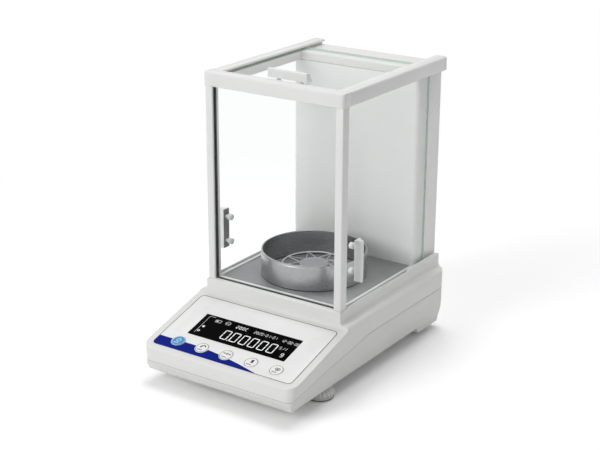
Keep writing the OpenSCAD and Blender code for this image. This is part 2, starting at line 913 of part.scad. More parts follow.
module position_sensor() {
    color(dark) difference() {
        span([-8, sensor_y, cell_z0 + cell_t], [8, sensor_y + 8, lever_z0 + 8]);
        span([-5, sensor_y - over, lever_z0 - 1], [5, sensor_y + 5.5, lever_z0 + 4]);
    }
}

// ---- electronics and sockets ----

module main_board() {
    y = column_y0 + column_wall + board_stand;
    color([0.1, 0.4, 0.2])
        span([-main_board_w / 2, y, main_board_z],
             [main_board_w / 2, y + board_t, main_board_z + main_board_h]);
    color(dark) for (x = [-30, 25], z = [35, 100])
        span([x - 14, y + board_t, main_board_z + z - 14],
             [x + 14, y + board_t + 4, main_board_z + z + 14]);
}

module power_jack() {
    color(dark) translate([jack_x, back_y, socket_z]) {
        difference() {
            span([-jack_w / 2 + socket_fit, -jack_len, -jack_h / 2 + socket_fit],
                 [jack_w / 2 - socket_fit, 0, jack_h / 2 - socket_fit]);
            rotate([90, 0, 0]) translate([0, 0, -over])
                cylinder(h = jack_len - 2 + over, r = jack_bore_r);
        }
        rotate([90, 0, 0]) translate([0, 0, 2]) cylinder(h = jack_len - 3, r = jack_pin_r);
    }
}

module data_port() {
    color(grey) translate([port_x, back_y, socket_z]) {
        difference() {
            span([-port_w / 2 + socket_fit, -jack_len, -port_h / 2 + socket_fit],
                 [port_w / 2 - socket_fit, 0, port_h / 2 - socket_fit]);
            span([-port_w / 2 + 1.4, -jack_len + 2, -port_h / 2 + 1.4],
                 [port_w / 2 - 1.4, over, port_h / 2 - 1.4]);
        }
        span([-2.2, -jack_len + 1, -1.6], [2.2, -3, 1.6]);
    }
}

// ---- doors ----

module side_glass(side) {
    color(clear_glass) on_side(side) difference() {
        span([glass_x0, side_glass_y0, deck_z - track_drop + track_floor + slide_gap],
             [glass_x1, side_glass_y1, frame_z + rail_groove_h - slide_gap]);
        for (s = [-1, 1])
            translate([glass_x0 - over, handle_y0 + handle_knob, handle_z + s * knob_pitch / 2])
                rotate([0, 90, 0]) cylinder(h = glass_t + 2 * over, r = 2.3);
    }
}

// Wedge handle on the XY plane, standing up in Z, centred along X
module wedge_handle(length) {
    difference() {
        across(-length / 2, length / 2) polygon(concat(
            [[0, 0], [handle_base, 0]],
            arc([handle_tip - 1, handle_reach - 1], 1, 45, 90, 3),
            arc([0.8, handle_reach - 0.8], 0.8, 90, 180, 3)));
        for (s = [-1, 1]) translate([s * knob_pitch / 2, handle_knob, -over])
            cylinder(h = 5 + over, r = 2);
    }
}

// Two knobs with shanks that hold a handle from the glass's other side
module handle_knobs() {
    for (s = [-1, 1]) translate([s * knob_pitch / 2, handle_knob, 0]) {
        translate([0, 0, -glass_t]) cylinder(h = glass_t + 4, r = 1.95);
        translate([0, 0, -glass_t - knob_len + 1])
            cylinder(h = knob_len - 1, r = knob_d / 2);
        translate([0, 0, -glass_t - knob_len]) cylinder(h = 1, r = knob_d / 2 - 0.8);
    }
}

// Places a shape drawn for the top door on the outer face of a side door
module on_side_door(side) {
    on_side(side) translate([glass_x1, handle_y0, handle_z]) rotate([0, 90, 0]) children();
}

module on_top_door() {
    translate([0, handle_y0, top_glass_z1]) children();
}

module top_glass() {
    half = rail_x0 + rail_bite;
    color(clear_glass) difference() {
        span([-half, post_y1 + slide_gap, top_glass_z0],
             [half, column_y0 + door_lap - 6, top_glass_z1]);
        for (s = [-1, 1])
            translate([s * knob_pitch / 2, handle_y0 + handle_knob, top_glass_z0 - over])
                cylinder(h = glass_t + 2 * over, r = 2.3);
    }
}

// ---- pan and ring ----

module weighing_pan() {
    rim = pan_d / 2;
    tip = rim - bar_w / 2;
    foot = disc_d / 2 - 0.5;
    step = 180 / pan_points;
    // Bar from the rim's point to the disc's edge, one step round
    bar = [foot * cos(step) - tip, foot * sin(step)];
    color(steel) translate([0, pan_y, 0]) difference() {
        union() {
            translate([0, 0, pan_top - bar_t - 0.3]) {
                difference() {
                    cylinder(h = bar_t, r = rim, $fn = 96);
                    translate([0, 0, -over]) cylinder(h = 4, r = rim - bar_w, $fn = 96);
                }
                for (i = [0 : pan_points - 1], s = [-1, 1])
                    rotate(i * 360 / pan_points) translate([tip, 0, 0])
                        rotate(s * atan2(bar.y, bar.x))
                            translate([0, -bar_w / 2, 0]) cube([norm(bar), bar_w, bar_t]);
            }
            translate([0, 0, pan_top - disc_t]) cylinder(h = disc_t, r = disc_d / 2);
            translate([0, 0, hub_z0]) cylinder(h = pan_top - hub_z0 - 1, r = hub_r);
        }
        translate([0, 0, hub_z0 - over])
            cylinder(h = pan_top - hub_roof - hub_z0 + over, r = hub_bore_r);
    }
}

module wind_ring() {
    color(grey) translate([0, pan_y, floor_z + gasket_h]) difference() {
        cylinder(h = ring_h, r = ring_d / 2, $fn = 96);
        translate([0, 0, -over])
            cylinder(h = ring_h + 2 * over, r = ring_d / 2 - ring_wall, $fn = 96);
    }
}

module ring_gasket() {
    color(dark) translate([0, pan_y, floor_z]) difference() {
        cylinder(h = gasket_h, r = ring_d / 2 - 0.5, $fn = 96);
        translate([0, 0, -over])
            cylinder(h = gasket_h + 2 * over, r = ring_d / 2 - ring_wall, $fn = 96);
    }
}

// ---- levelling feet ----

module foot_pad(side) {
    color(dark) on_side(side) translate([foot_x, foot_y, 0]) {
        cylinder(h = pad_h, r = foot_d / 2 - 1.5);
        translate([0, 0, pad_h]) cylinder(h = pivot_h, r = pivot_r);
    }
}

module foot_screw(side) {
    z0 = pad_h + wheel_gap;
    color(grey) on_side(side) translate([foot_x, foot_y, 0]) difference() {
        union() {
            translate([0, 0, z0]) rotate_extrude() polygon(concat(
                [[0, 0], [foot_d / 2 - 0.8, 0], [foot_d / 2, 0.8], [foot_d / 2, 4]],
                [[wheel_top_r, wheel_h - 0.6], [wheel_top_r - 1.5, wheel_h], [0, wheel_h]]));
            translate([0, 0, z0 + wheel_h - 1])
                cylinder(h = under_gap + nut_h + foot_travel + 4 - z0 - wheel_h, r = stud_r);
        }
        translate([0, 0, z0 - over])
            cylinder(h = pivot_h + over + 0.2, r = pivot_r + 0.06);
    }
}

upper_housing();
lower_housing();
housing_screws();
foot_nuts();
rear_feet();
keypad_overlay();
display_window();
display_module();
key_board();
key_switches();
floor_plate();
draft_collar();
level_body();
level_vial();
color(white) front_post(-1);  // front_post_left
color(white) front_post(1);  // front_post_right
front_beam();
front_glass();
front_glass_seals();
color(white) door_track(-1);  // door_track_left
color(white) door_track(1);  // door_track_right
color(white) top_rail(-1);  // top_rail_left
color(white) top_rail(1);  // top_rail_right
rear_column();
rear_cover();
rear_cover_screws();
rear_top_plate();
cell_base();
cell_guides();
cell_lever();
force_coil();
magnet_pot();
position_sensor();
load_stem();
main_board();
power_jack();
data_port();
side_glass(-1);  // left_door_glass
color(white) on_side_door(-1) wedge_handle(handle_len);  // left_door_handle
color(white) on_side_door(-1) handle_knobs();  // left_door_knobs
side_glass(1);  // right_door_glass
color(white) on_side_door(1) wedge_handle(handle_len);  // right_door_handle
color(white) on_side_door(1) handle_knobs();  // right_door_knobs
top_glass();  // top_door_glass
color(white) on_top_door() wedge_handle(top_handle_len);  // top_door_handle
color(white) on_top_door() handle_knobs();  // top_door_knobs
weighing_pan();
wind_ring();
ring_gasket();
color([0.3, 0.7, 0.9]) key_cap(0);  // key_power
color(white) key_cap(1);  // key_2
color(white) key_cap(2);  // key_3
color(white) key_cap(3);  // key_4
color(white) key_cap(4);  // key_5
foot_pad(-1);  // foot_pad_left
foot_pad(1);  // foot_pad_right
foot_screw(-1);  // foot_screw_left
foot_screw(1);  // foot_screw_right
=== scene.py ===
# %% [markdown]
# # A laboratory balance
# An analytical balance weighs very small amounts, so its pan sits in a glass chamber that
# keeps draughts away. The solid parts come in as a fixed frame. This lesson gives them
# soft edges, real finishes, wires, prints and light. All lengths are metres.

import math

import bmesh
import bpy
from mathutils import Matrix, Vector


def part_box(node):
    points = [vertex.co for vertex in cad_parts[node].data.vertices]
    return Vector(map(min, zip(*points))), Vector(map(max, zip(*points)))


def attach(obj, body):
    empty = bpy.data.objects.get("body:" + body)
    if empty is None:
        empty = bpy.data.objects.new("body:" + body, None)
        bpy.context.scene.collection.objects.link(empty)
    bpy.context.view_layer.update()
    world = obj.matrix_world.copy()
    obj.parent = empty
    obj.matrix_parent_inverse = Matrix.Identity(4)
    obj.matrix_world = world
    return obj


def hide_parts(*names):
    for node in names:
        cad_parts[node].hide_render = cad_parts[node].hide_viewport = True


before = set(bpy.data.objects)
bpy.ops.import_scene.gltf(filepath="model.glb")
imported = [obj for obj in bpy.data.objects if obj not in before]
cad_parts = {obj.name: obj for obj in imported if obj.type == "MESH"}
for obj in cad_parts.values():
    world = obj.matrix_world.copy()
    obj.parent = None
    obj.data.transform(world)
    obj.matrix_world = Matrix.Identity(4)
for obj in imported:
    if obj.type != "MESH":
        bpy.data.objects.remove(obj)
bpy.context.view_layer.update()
MM = 0.001
scene = bpy.context.scene

# %% [markdown]
# ## The camera
# A product picture is taken with a long lens from a little above, so that upright edges
# stay nearly parallel. The camera is aimed with three angles round a point in the middle
# of the balance, which is easier to adjust than a bare position.

# %% Camera
AZIMUTH, ELEVATION, ROLL = (math.radians(a) for a in (34.14, 19.55, 0.25))
LOOK_AT = Vector((-0.001, 0, 0.1648))
DISTANCE = 1.6318
back = Vector((math.sin(AZIMUTH) * math.cos(ELEVATION),
               -math.cos(AZIMUTH) * math.cos(ELEVATION), math.sin(ELEVATION)))
level = Vector((math.cos(AZIMUTH), math.sin(AZIMUTH), 0))
upright = back.cross(level)
across = level * math.cos(ROLL) + upright * math.sin(ROLL)
up = upright * math.cos(ROLL) - level * math.sin(ROLL)
lens = bpy.data.cameras.new("camera")
lens.lens = 81.96
lens.sensor_width = 36
camera = bpy.data.objects.new("camera", lens)
scene.collection.objects.link(camera)
turn = Matrix((across, up, back)).transposed().to_4x4()
camera.matrix_world = Matrix.Translation(LOOK_AT + back * DISTANCE) @ turn
scene.camera = camera
scene.view_settings.view_transform = "Standard"
print("camera stands at", [round(c, 3) for c in camera.matrix_world.translation])

# %% [markdown]
# ## Node tools
# Finishes and repeated shapes are both made of nodes. Linking each node by hand hides the
# idea behind the wires, so one small class lets a socket be added, multiplied or
# compared like a number, and one method makes any other node.


# %% Sockets as values
class Value:
    """A socket that adds its own Math nodes when it is used in a sum."""

    def __init__(self, graph, socket):
        self.graph = graph
        self.socket = socket

    def maths(self, operation, *terms):
        made = self.graph.add("ShaderNodeMath", {"operation": operation}, dict(enumerate(terms)))
        return made["Value"]

    def __add__(self, other):
        return self.maths("ADD", self, other)

    def __sub__(self, other):
        return self.maths("SUBTRACT", self, other)

    def __rsub__(self, other):
        return self.maths("SUBTRACT", other, self)

    def __mul__(self, other):
        return self.maths("MULTIPLY", self, other)

    def __truediv__(self, other):
        return self.maths("DIVIDE", self, other)

    def __mod__(self, other):
        return self.maths("MODULO", self, other)

    __radd__ = __add__
    __rmul__ = __mul__

    def step(self, low, high):
        """0 below low, 1 above high and a straight ramp between."""
        made = self.graph.add("ShaderNodeMapRange", {"clamp": True},
                              {"Value": self, "From Min": low, "From Max": high})
        return made["Result"]


class Outlets:
    """The results of one node, fetched by name or number."""

    def __init__(self, graph, node):
        self.graph = graph
        self.node = node

    def __getitem__(self, name):
        return Value(self.graph, self.node.outputs[name])


class Graph:
    """A node tree with one method that makes any node."""

    def __init__(self, tree):
        self.tree = tree

    def add(self, kind, settings=None, sockets=None):
        node = self.tree.nodes.new(kind)
        for name, setting in (settings or {}).items():
            setattr(node, name, setting)
        for name, value in (sockets or {}).items():
            self.feed(node.inputs[name], value)
        return Outlets(self, node)

    def feed(self, socket, value):
        if isinstance(value, Value):
            self.tree.links.new(value.socket, socket)
        else:
            socket.default_value = value


# %% [markdown]
# ## The studio
# The balance stands on a pale table in soft light, and the room behind it is white. Only
# rays that are seen get the white world and the table's whiter paint, so the background is
# white without more light falling on the balance, and the table keeps the shadow.

# %% Room light and table
AMBIENT = 0.38
TABLE_PALE, TABLE_SEEN = 0.9, 1.22
TABLE_FADE = (0.34, 0.85)


def seen_rays(graph):
    """1 for rays from the camera, a mirror or glass, 0 for rays that carry light."""
    path = graph.add("ShaderNodeLightPath")
    return (path["Is Camera Ray"] + path["Is Glossy Ray"]
            + path["Is Transmission Ray"]).step(0, 1)


world = bpy.data.worlds.new("studio")
world.use_nodes = True
world.node_tree.nodes.clear()
scene.world = world
air = Graph(world.node_tree)
glow = air.add("ShaderNodeBackground", None,
               {"Color": (1, 1, 1, 1), "Strength": AMBIENT + (1 - AMBIENT) * seen_rays(air)})
air.add("ShaderNodeOutputWorld", None, {"Surface": glow["Background"]})

TABLE_SIZE = 6
table_bm = bmesh.new()
bmesh.ops.create_grid(table_bm, x_segments=4, y_segments=4, size=TABLE_SIZE)
table_mesh = bpy.data.meshes.new("table")
table_bm.to_mesh(table_mesh)
table = bpy.data.objects.new("table", table_mesh)
table.location.z = -0.0002
scene.collection.objects.link(table)
paint = bpy.data.materials.new("table_white")
paint.use_nodes = True
paint.node_tree.nodes.clear()
board = Graph(paint.node_tree)
spot = board.add("ShaderNodeTexCoord")["Object"]
away = board.add("ShaderNodeVectorMath", {"operation": "LENGTH"}, {0: spot})["Value"]
seen = seen_rays(board)
pale = board.add("ShaderNodeMix", {"data_type": "RGBA"}, {
    0: seen, 6: (TABLE_PALE, TABLE_PALE, TABLE_PALE, 1),
    7: (TABLE_SEEN, TABLE_SEEN, TABLE_SEEN, 1)})[2]
near = board.add("ShaderNodeBsdfDiffuse", None, {"Color": pale})["BSDF"]
far = board.add("ShaderNodeEmission", None, {"Strength": 1.0})["Emission"]
fade = board.add("ShaderNodeMixShader", None,
                 {"Fac": seen * away.step(*TABLE_FADE), 1: near, 2: far})["Shader"]
board.add("ShaderNodeOutputMaterial", None, {"Surface": fade})
table_mesh.materials.append(paint)

# %% Lamps


def lamp(name, place, power, width, height):
    """A soft box that points at the middle of the balance."""
    light = bpy.data.lights.new(name, "AREA")
    light.shape = "RECTANGLE"
    light.size, light.size_y = width, height
    light.energy = power
    holder = bpy.data.objects.new(name, light)
    holder.location = place
    holder.rotation_mode = "QUATERNION"
    aim = Vector((0, 0, 0.15)) - Vector(place)
    holder.rotation_quaternion = aim.to_track_quat("-Z", "Y")
    scene.collection.objects.link(holder)


lamp("key_light", (-1.2, -3.1, 1.75), 54.0, 1.5, 2.4)
lamp("top_light", (-0.2, 0.9, 3.0), 38.0, 1.6, 1.6)
print("two soft boxes and a white room")

# %% [markdown]
# ## Finishes
# Each finish is a function of the place on the part: a slow noise shifts its tone, a fine
# one makes its grain, both feed the roughness and the fine one feeds the bump, because real
# moulded, painted or brushed surfaces are never quite even. Patterns use Object coordinates,
# which are the balance's own, so a pattern stays on its part when a door slides.


# %% The finish class
class Finish(Graph):
    """A material that is built from expressions on the place on the part."""

    def __init__(self, name):
        self.material = bpy.data.materials.new(name)
        self.material.use_nodes = True
        super().__init__(self.material.node_tree)
        self.tree.nodes.clear()
        self.at = self.add("ShaderNodeTexCoord")["Object"]

    def noise(self, size, stretch=(1, 1, 1), detail=2.0, at=None):
        """Noise whose spots are about size across, longer where stretch is below 1."""
        spread = tuple(s / size for s in stretch)
        where = self.add("ShaderNodeVectorMath", {"operation": "MULTIPLY"},
                         {0: at or self.at, 1: spread})["Vector"]
        return self.add("ShaderNodeTexNoise", None, {"Vector": where, "Scale": 1.0,
                                                     "Detail": detail})[0]

    def round_axis(self, centre):
        """Angle, distance and height about an upright axis through centre."""
        moved = self.add("ShaderNodeVectorMath", {"operation": "SUBTRACT"},
                         {0: self.at, 1: centre})["Vector"]
        part = self.add("ShaderNodeSeparateXYZ", None, {0: moved})
        angle = part["Y"].maths("ARCTAN2", part["Y"], part["X"])
        flat = self.add("ShaderNodeCombineXYZ", None, {"X": part["X"], "Y": part["Y"]})[0]
        away = self.add("ShaderNodeVectorMath", {"operation": "LENGTH"}, {0: flat})["Value"]
        return angle, away, part["Z"]

    def shade(self, dark, light, share):
        """A colour between two, by a share from 0 to 1."""
        return self.add("ShaderNodeMix", {"data_type": "RGBA"},
                        {0: share, 6: (*dark, 1), 7: (*light, 1)})[2]

    def bumps(self, height, depth, strength=0.5):
        return self.add("ShaderNodeBump", None, {"Strength": strength, "Distance": depth,
                                                 "Height": height})["Normal"]

    def done(self, colour, roughness, normal=None, **fixed):
        sockets = {"Base Color": colour, "Roughness": roughness}
        if normal is not None:
            sockets["Normal"] = normal
        sockets.update({k.replace("_", " "): v for k, v in fixed.items()})
        shader = self.add("ShaderNodeBsdfPrincipled", None, sockets)["BSDF"]
        self.add("ShaderNodeOutputMaterial", None, {"Surface": shader})
        return self.material


# %% Plastics and paint
def tones(colour, less, more=None):
    """The darkest and lightest tone of a colour, by the share it may change."""
    more = less if more is None else more
    return tuple(c * (1 - less) for c in colour), tuple(min(c * (1 + more), 1) for c in colour)


def grained(name, colour, roughness, grain, depth, tone=0.03, **fixed):
    """Moulded or painted surface: slow drift in tone, fine grain in gloss and relief."""
    finish = Finish(name)
    drift = finish.noise(30 * MM)
    fine = finish.noise(grain)
    return finish.done(finish.shade(*tones(colour, tone), drift * 0.7 + fine * 0.3),
                       roughness + (fine - 0.5) * 0.18 + (drift - 0.5) * 0.08,
                       finish.bumps(fine, depth), **fixed)


column_white = grained("column_white", (0.88, 0.88, 0.875), 0.5, 0.5 * MM, 0.03 * MM)
moulded_white = grained("moulded_white", (0.80, 0.80, 0.79), 0.42, 0.5 * MM, 0.03 * MM)
powder_white = grained("powder_white", (0.77, 0.77, 0.76), 0.48, 1.3 * MM, 0.06 * MM)
frame_enamel = grained("frame_enamel", (0.82, 0.82, 0.815), 0.34, 0.9 * MM, 0.03 * MM)
handle_plastic = grained("handle_plastic", (0.86, 0.86, 0.855), 0.4, 0.4 * MM, 0.03 * MM)
knob_plastic = grained("knob_plastic", (0.83, 0.83, 0.82), 0.35, 0.4 * MM, 0.02 * MM)
film = grained("overlay_film", (0.9, 0.9, 0.895), 0.3, 0.35 * MM, 0.012 * MM, 0.012)
key_white = grained("key_white", (0.93, 0.93, 0.925), 0.3, 0.35 * MM, 0.012 * MM, 0.012)
key_blue = grained("key_blue", (0.05, 0.32, 0.62), 0.36, 0.35 * MM, 0.012 * MM, 0.05,
                   Specular_IOR_Level=0.2)
print_blue = grained("print_blue", (0.004, 0.014, 0.24), 0.45, 0.5 * MM, 0.008 * MM, 0.12,
                     Specular_IOR_Level=0.04)
# Grey ink of the key rings; the same grey is also painted shade in the line round the film's
# edge.
print_grey = grained("print_grey", (0.055, 0.057, 0.06), 0.45, 0.5 * MM, 0.008 * MM, 0.15,
                     Specular_IOR_Level=0.1)
print_black = grained("print_black", (0.012, 0.012, 0.013), 0.4, 0.5 * MM, 0.008 * MM, 0.2,
                      Specular_IOR_Level=0.15)
print_pale = grained("print_pale", (0.75, 0.87, 0.93), 0.4, 0.5 * MM, 0.008 * MM, 0.04)
black_gloss = grained("window_black", (0.0008, 0.0007, 0.0007), 0.3, 6 * MM, 0.004 * MM, 0.3,
                      Specular_IOR_Level=0.015)
rubber = grained("rubber", (0.03, 0.03, 0.031), 0.72, 0.7 * MM, 0.08 * MM, 0.25)
# Grey of the front pane's seals; the same grey is painted shade in the strip along the shells'
# joint.
seal_grey = grained("seal_grey", (0.13, 0.13, 0.13), 0.7, 0.6 * MM, 0.05 * MM, 0.2,
                    Specular_IOR_Level=0.2)
dark_plastic = grained("dark_plastic", (0.035, 0.035, 0.038), 0.5, 0.5 * MM, 0.05 * MM, 0.2)
foot_grey = grained("foot_grey", (0.60, 0.60, 0.585), 0.5, 0.6 * MM, 0.05 * MM, 0.06)
# Dark grey for the face of each handle that lies on the glass.
pad_grey = grained("pad_grey", (0.22, 0.22, 0.215), 0.6, 0.6 * MM, 0.05 * MM, 0.12)


# %% Metals
def metal(name, colour, roughness, stretch, grain=0.3 * MM):
    """Metal with marks drawn out along the axes where stretch is small."""
    finish = Finish(name)
    lines = finish.noise(grain, stretch, 3.0)
    cloud = finish.noise(18 * MM)
    return finish.done(finish.shade(*tones(colour, 0.12), lines * 0.6 + cloud * 0.4),
                       roughness + (lines - 0.5) * 0.2 + (cloud - 0.5) * 0.08,
                       finish.bumps(lines, 0.01 * MM, 0.4), Metallic=1.0)


bright_steel = metal("bright_steel", (0.52, 0.52, 0.53), 0.3, (1, 1, 0.05))
cell_alloy = metal("cell_alloy", (0.62, 0.63, 0.64), 0.38, (0.04, 1, 1))
brass = metal("brass", (0.68, 0.47, 0.16), 0.32, (1, 1, 0.1))
copper = metal("copper", (0.72, 0.33, 0.15), 0.35, (0.05, 0.05, 1), grain=0.25 * MM)
magnet_steel = metal("magnet_steel", (0.40, 0.40, 0.41), 0.35, (0.05, 0.05, 1))


def turned(name, colour, roughness, centre, rings):
    """Metal that was turned or rolled: fine marks run round an upright axis."""
    finish = Finish(name)
    angle, away, height = finish.round_axis(centre)
    rolled = finish.add("ShaderNodeCombineXYZ", None,
                        {"X": angle * 0.004, "Y": away, "Z": height})[0]
    marks = finish.noise(rings, (1, 1, 1), 3.0, rolled)
    cloud = finish.noise(25 * MM)
    return finish.done(finish.shade(*tones(colour, 0.14, 0.12), marks * 0.7 + cloud * 0.3),
                       roughness + (marks - 0.5) * 0.22,
                       finish.bumps(marks, 0.012 * MM, 0.4), Metallic=1.0)


ring_low, ring_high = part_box("wind_ring")
pan_axis = (ring_low + ring_high) / 2
ring_metal = turned("ring_metal", (0.40, 0.40, 0.41), 0.3, pan_axis, 0.35 * MM)
pan_steel = turned("pan_steel", (0.46, 0.46, 0.485), 0.36, pan_axis, 0.4 * MM)
wire_steel = metal("wire_steel", (0.72, 0.72, 0.73), 0.28, (0.1, 0.1, 1))

plate = Finish("floor_grey")
strokes = plate.noise(0.35 * MM, (0.02, 1, 1), 3.0)
blotch = plate.noise(26 * MM, (1, 1, 1), 3.0)
floor_grey = plate.done(
    plate.shade((0.21, 0.215, 0.222), (0.33, 0.335, 0.34), strokes * 0.35 + blotch * 0.65),
    0.5 + (strokes - 0.5) * 0.2, plate.bumps(strokes, 0.01 * MM, 0.4), Metallic=0.4)

# %% Glass, liquid and circuit board
GLASS_CLEAR = (0.996, 1.0, 0.998, 1)


def glass_face(name, tint, smear):
    """Clear glass: it lets the picture behind through and mirrors a little at a slant."""
    finish = Finish(name)
    haze = finish.noise(40 * MM, (1, 1, 0.4), 3.0)
    clear = finish.add("ShaderNodeBsdfTransparent", None, {"Color": tint})["BSDF"]
    gloss = finish.add("ShaderNodeBsdfGlossy", None, {"Color": (1, 1, 1, 1),
                                                      "Roughness": 0.04})["BSDF"]
    slant = finish.add("ShaderNodeFresnel", None, {"IOR": 1.45})[0]
    inside = finish.add("ShaderNodeNewGeometry")["Backfacing"]
    share = (slant * 0.45 + haze.step(0.6, 0.9) * smear) * (1 - inside)
    both = finish.add("ShaderNodeMixShader", None, {"Fac": share, 1: clear, 2: gloss})
    finish.add("ShaderNodeOutputMaterial", None, {"Surface": both["Shader"]})
    return finish.material


def glass_edge(name, dark, light, seen_share):
    """The ground edge of a pane, where the glass looks green because it is deep."""
    finish = Finish(name)
    run = finish.noise(9 * MM, (1, 1, 1), 2.0)
    fine = finish.noise(0.4 * MM)
    return finish.done(finish.shade(dark, light, run * 0.6 + fine * 0.4), 0.28 + fine * 0.12,
                       finish.bumps(fine, 0.02 * MM), Alpha=seen_share + (run - 0.5) * 0.1)


pane_face = glass_face("pane_face", GLASS_CLEAR, 0.01)
pane_edge = glass_edge("pane_edge", (0.30, 0.43, 0.37), (0.50, 0.64, 0.57), 0.72)
vial_glass = glass_face("vial_glass", (0.97, 1.0, 0.93, 1), 0.02)
vial_green = grained("vial_green", (0.45, 0.68, 0.05), 0.15, 3 * MM, 0.01 * MM, 0.12)

mask = Finish("solder_mask")
weave = mask.add("ShaderNodeTexBrick", None, {
    "Vector": mask.at, "Scale": 90.0, "Mortar Size": 0.03,
    "Color1": (0.012, 0.11, 0.04, 1), "Color2": (0.02, 0.16, 0.055, 1),
    "Mortar": (0.05, 0.24, 0.09, 1)})
solder_mask = mask.done(weave["Color"], 0.3 + mask.noise(0.8 * MM) * 0.2,
                        mask.bumps(weave["Fac"], 0.05 * MM))



def lit(name, dark, light):
    """A display segment that glows a little unevenly."""
    finish = Finish(name)
    speck = finish.noise(0.9 * MM)
    return finish.done((0.02, 0.02, 0.02, 1), 0.4 + speck * 0.1, Emission_Strength=1.0,
                       Emission_Color=finish.shade(dark, light, speck))


lit_white = lit("lit_segment", (0.88, 0.9, 0.92), (1, 1, 1))
lit_dim = lit("dim_segment", (0.5, 0.51, 0.52), (0.72, 0.73, 0.74))
print(len(bpy.data.materials), "finishes")

# %% [markdown]
# ## Mesh tools
# No real edge is knife sharp: a moulded or milled edge has a small radius that catches a
# line of light. The solids are exact, so a copy of each one is merged, its flat faces are
# joined, and only its sharp edges are bevelled. A round part is turned from a profile
# whose corners are rounded first, the way a lathe tool would leave them.


# %% From mesh to piece
SMOOTH_UNDER, SHARP_FROM = math.radians(35), math.radians(50)


def shown(name, mesh, finishes):
    """An object at the origin with its finishes."""
    for finish in finishes:
        mesh.materials.append(finish)
    thing = bpy.data.objects.new(name, mesh)
    scene.collection.objects.link(thing)
    return thing


def piece_from(name, bm, *finishes):
    """Makes an object at the origin from a bmesh, smooth but for its sharp edges."""
    for face in bm.faces:
        face.smooth = True
    for edge in bm.edges:
        if len(edge.link_faces) == 2:
            edge.smooth = edge.calc_face_angle(0) < SMOOTH_UNDER
    mesh = bpy.data.meshes.new(name)
    bm.to_mesh(mesh)
    bm.free()
    return shown(name, mesh, finishes)


def hand_over(thing, body, slot, *stands_for):
    """Tells the frame which body a piece rides on and which solids it stands for."""
    if stands_for:
        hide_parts(*stands_for)
    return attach(thing, body)


def merged(node):
    """A watertight copy of a solid with its flat faces joined."""
    bm = bmesh.new()
    bm.from_mesh(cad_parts[node].data)
    bmesh.ops.remove_doubles(bm, verts=bm.verts, dist=0.002 * MM)
    bmesh.ops.dissolve_degenerate(bm, edges=bm.edges, dist=0.001 * MM)
    bmesh.ops.dissolve_limit(bm, angle_limit=math.radians(0.6), verts=bm.verts,
                             edges=bm.edges, use_dissolve_boundaries=False)
    return bm


def softened(node, name, width, finish, body, slot, steps=2):
    """A copy of a solid with its outward edges rounded by width."""
    bm = merged(node)
    edges = [e for e in bm.edges if len(e.link_faces) == 2
             and e.calc_face_angle_signed(0) > SHARP_FROM]
    bmesh.ops.bevel(bm, geom=edges, offset=width, segments=steps, profile=0.5,
                    affect="EDGES", clamp_overlap=True)
    return hand_over(piece_from(name, bm, finish), body, slot, node)


# %% Turned parts
def rounded_profile(corners, radius, steps=3):
    """Rounds each corner of a closed outline of (radius, height) pairs."""
    points = []
    count = len(corners)
    for i in range(count):
        here = Vector(corners[i])
        before, after = Vector(corners[i - 1]) - here, Vector(corners[(i + 1) % count]) - here
        reach = min(radius, before.length * 0.45, after.length * 0.45)
        if here.x < 1e-6:
            points.append(here)
            continue
        start, end = here + before.normalized() * reach, here + after.normalized() * reach
        for k in range(steps + 1):
            t = k / steps
            points.append(start * (1 - t) ** 2 + here * 2 * t * (1 - t) + end * t * t)
    return points


def turned_mesh(profile, steps, placing, wave=None):
    """Spins a closed outline about the Z axis. The outline is in millimetres."""
    bm = bmesh.new()
    rings = []
    for radius, height in profile:
        if radius < 1e-6:
            rings.append([bm.verts.new((0, 0, height * MM))])
            continue
        ring = []
        for i in range(steps):
            angle = 2 * math.pi * i / steps
            r = radius * MM * (wave(angle, height) if wave else 1)
            ring.append(bm.verts.new((r * math.cos(angle), r * math.sin(angle), height * MM)))
        rings.append(ring)
    for low, high in zip(rings, rings[1:] + rings[:1]):
        for i in range(steps):
            j = (i + 1) % steps
            corners = [low[i % len(low)], low[j % len(low)], high[j % len(high)],
                       high[i % len(high)]]
            corners = list(dict.fromkeys(corners))
            if len(corners) > 2:
                bm.faces.new(corners)
    bmesh.ops.recalc_face_normals(bm, faces=bm.faces)
    bm.transform(placing)
    return bm


def spun(name, corners, radius, steps, placing, finish, wave=None):
    """A turned part with rounded corners, put in its place."""
    return piece_from(name, turned_mesh(rounded_profile(corners, radius), steps, placing, wave),
                      finish)


def joined(name, *parts):
    """One piece from several, each with its own finish."""
    whole = bmesh.new()
    finishes = []
    for part in parts:
        before = len(whole.faces)
        part.data.transform(part.matrix_world)
        whole.from_mesh(part.data)
        whole.faces.ensure_lookup_table()
        for face in whole.faces[before:]:
            face.material_index = len(finishes)
        finishes.append(part.data.materials[0])
        bpy.data.objects.remove(part)
    mesh = bpy.data.meshes.new(name)
    whole.to_mesh(mesh)
    whole.free()
    return shown(name, mesh, finishes)


# %% [markdown]
# ## Housing and chamber frame
# The housing is a moulded upper shell on a painted metal tray, and the chamber is a
# white frame. Their shapes are right already, so each gets soft edges and its paint.

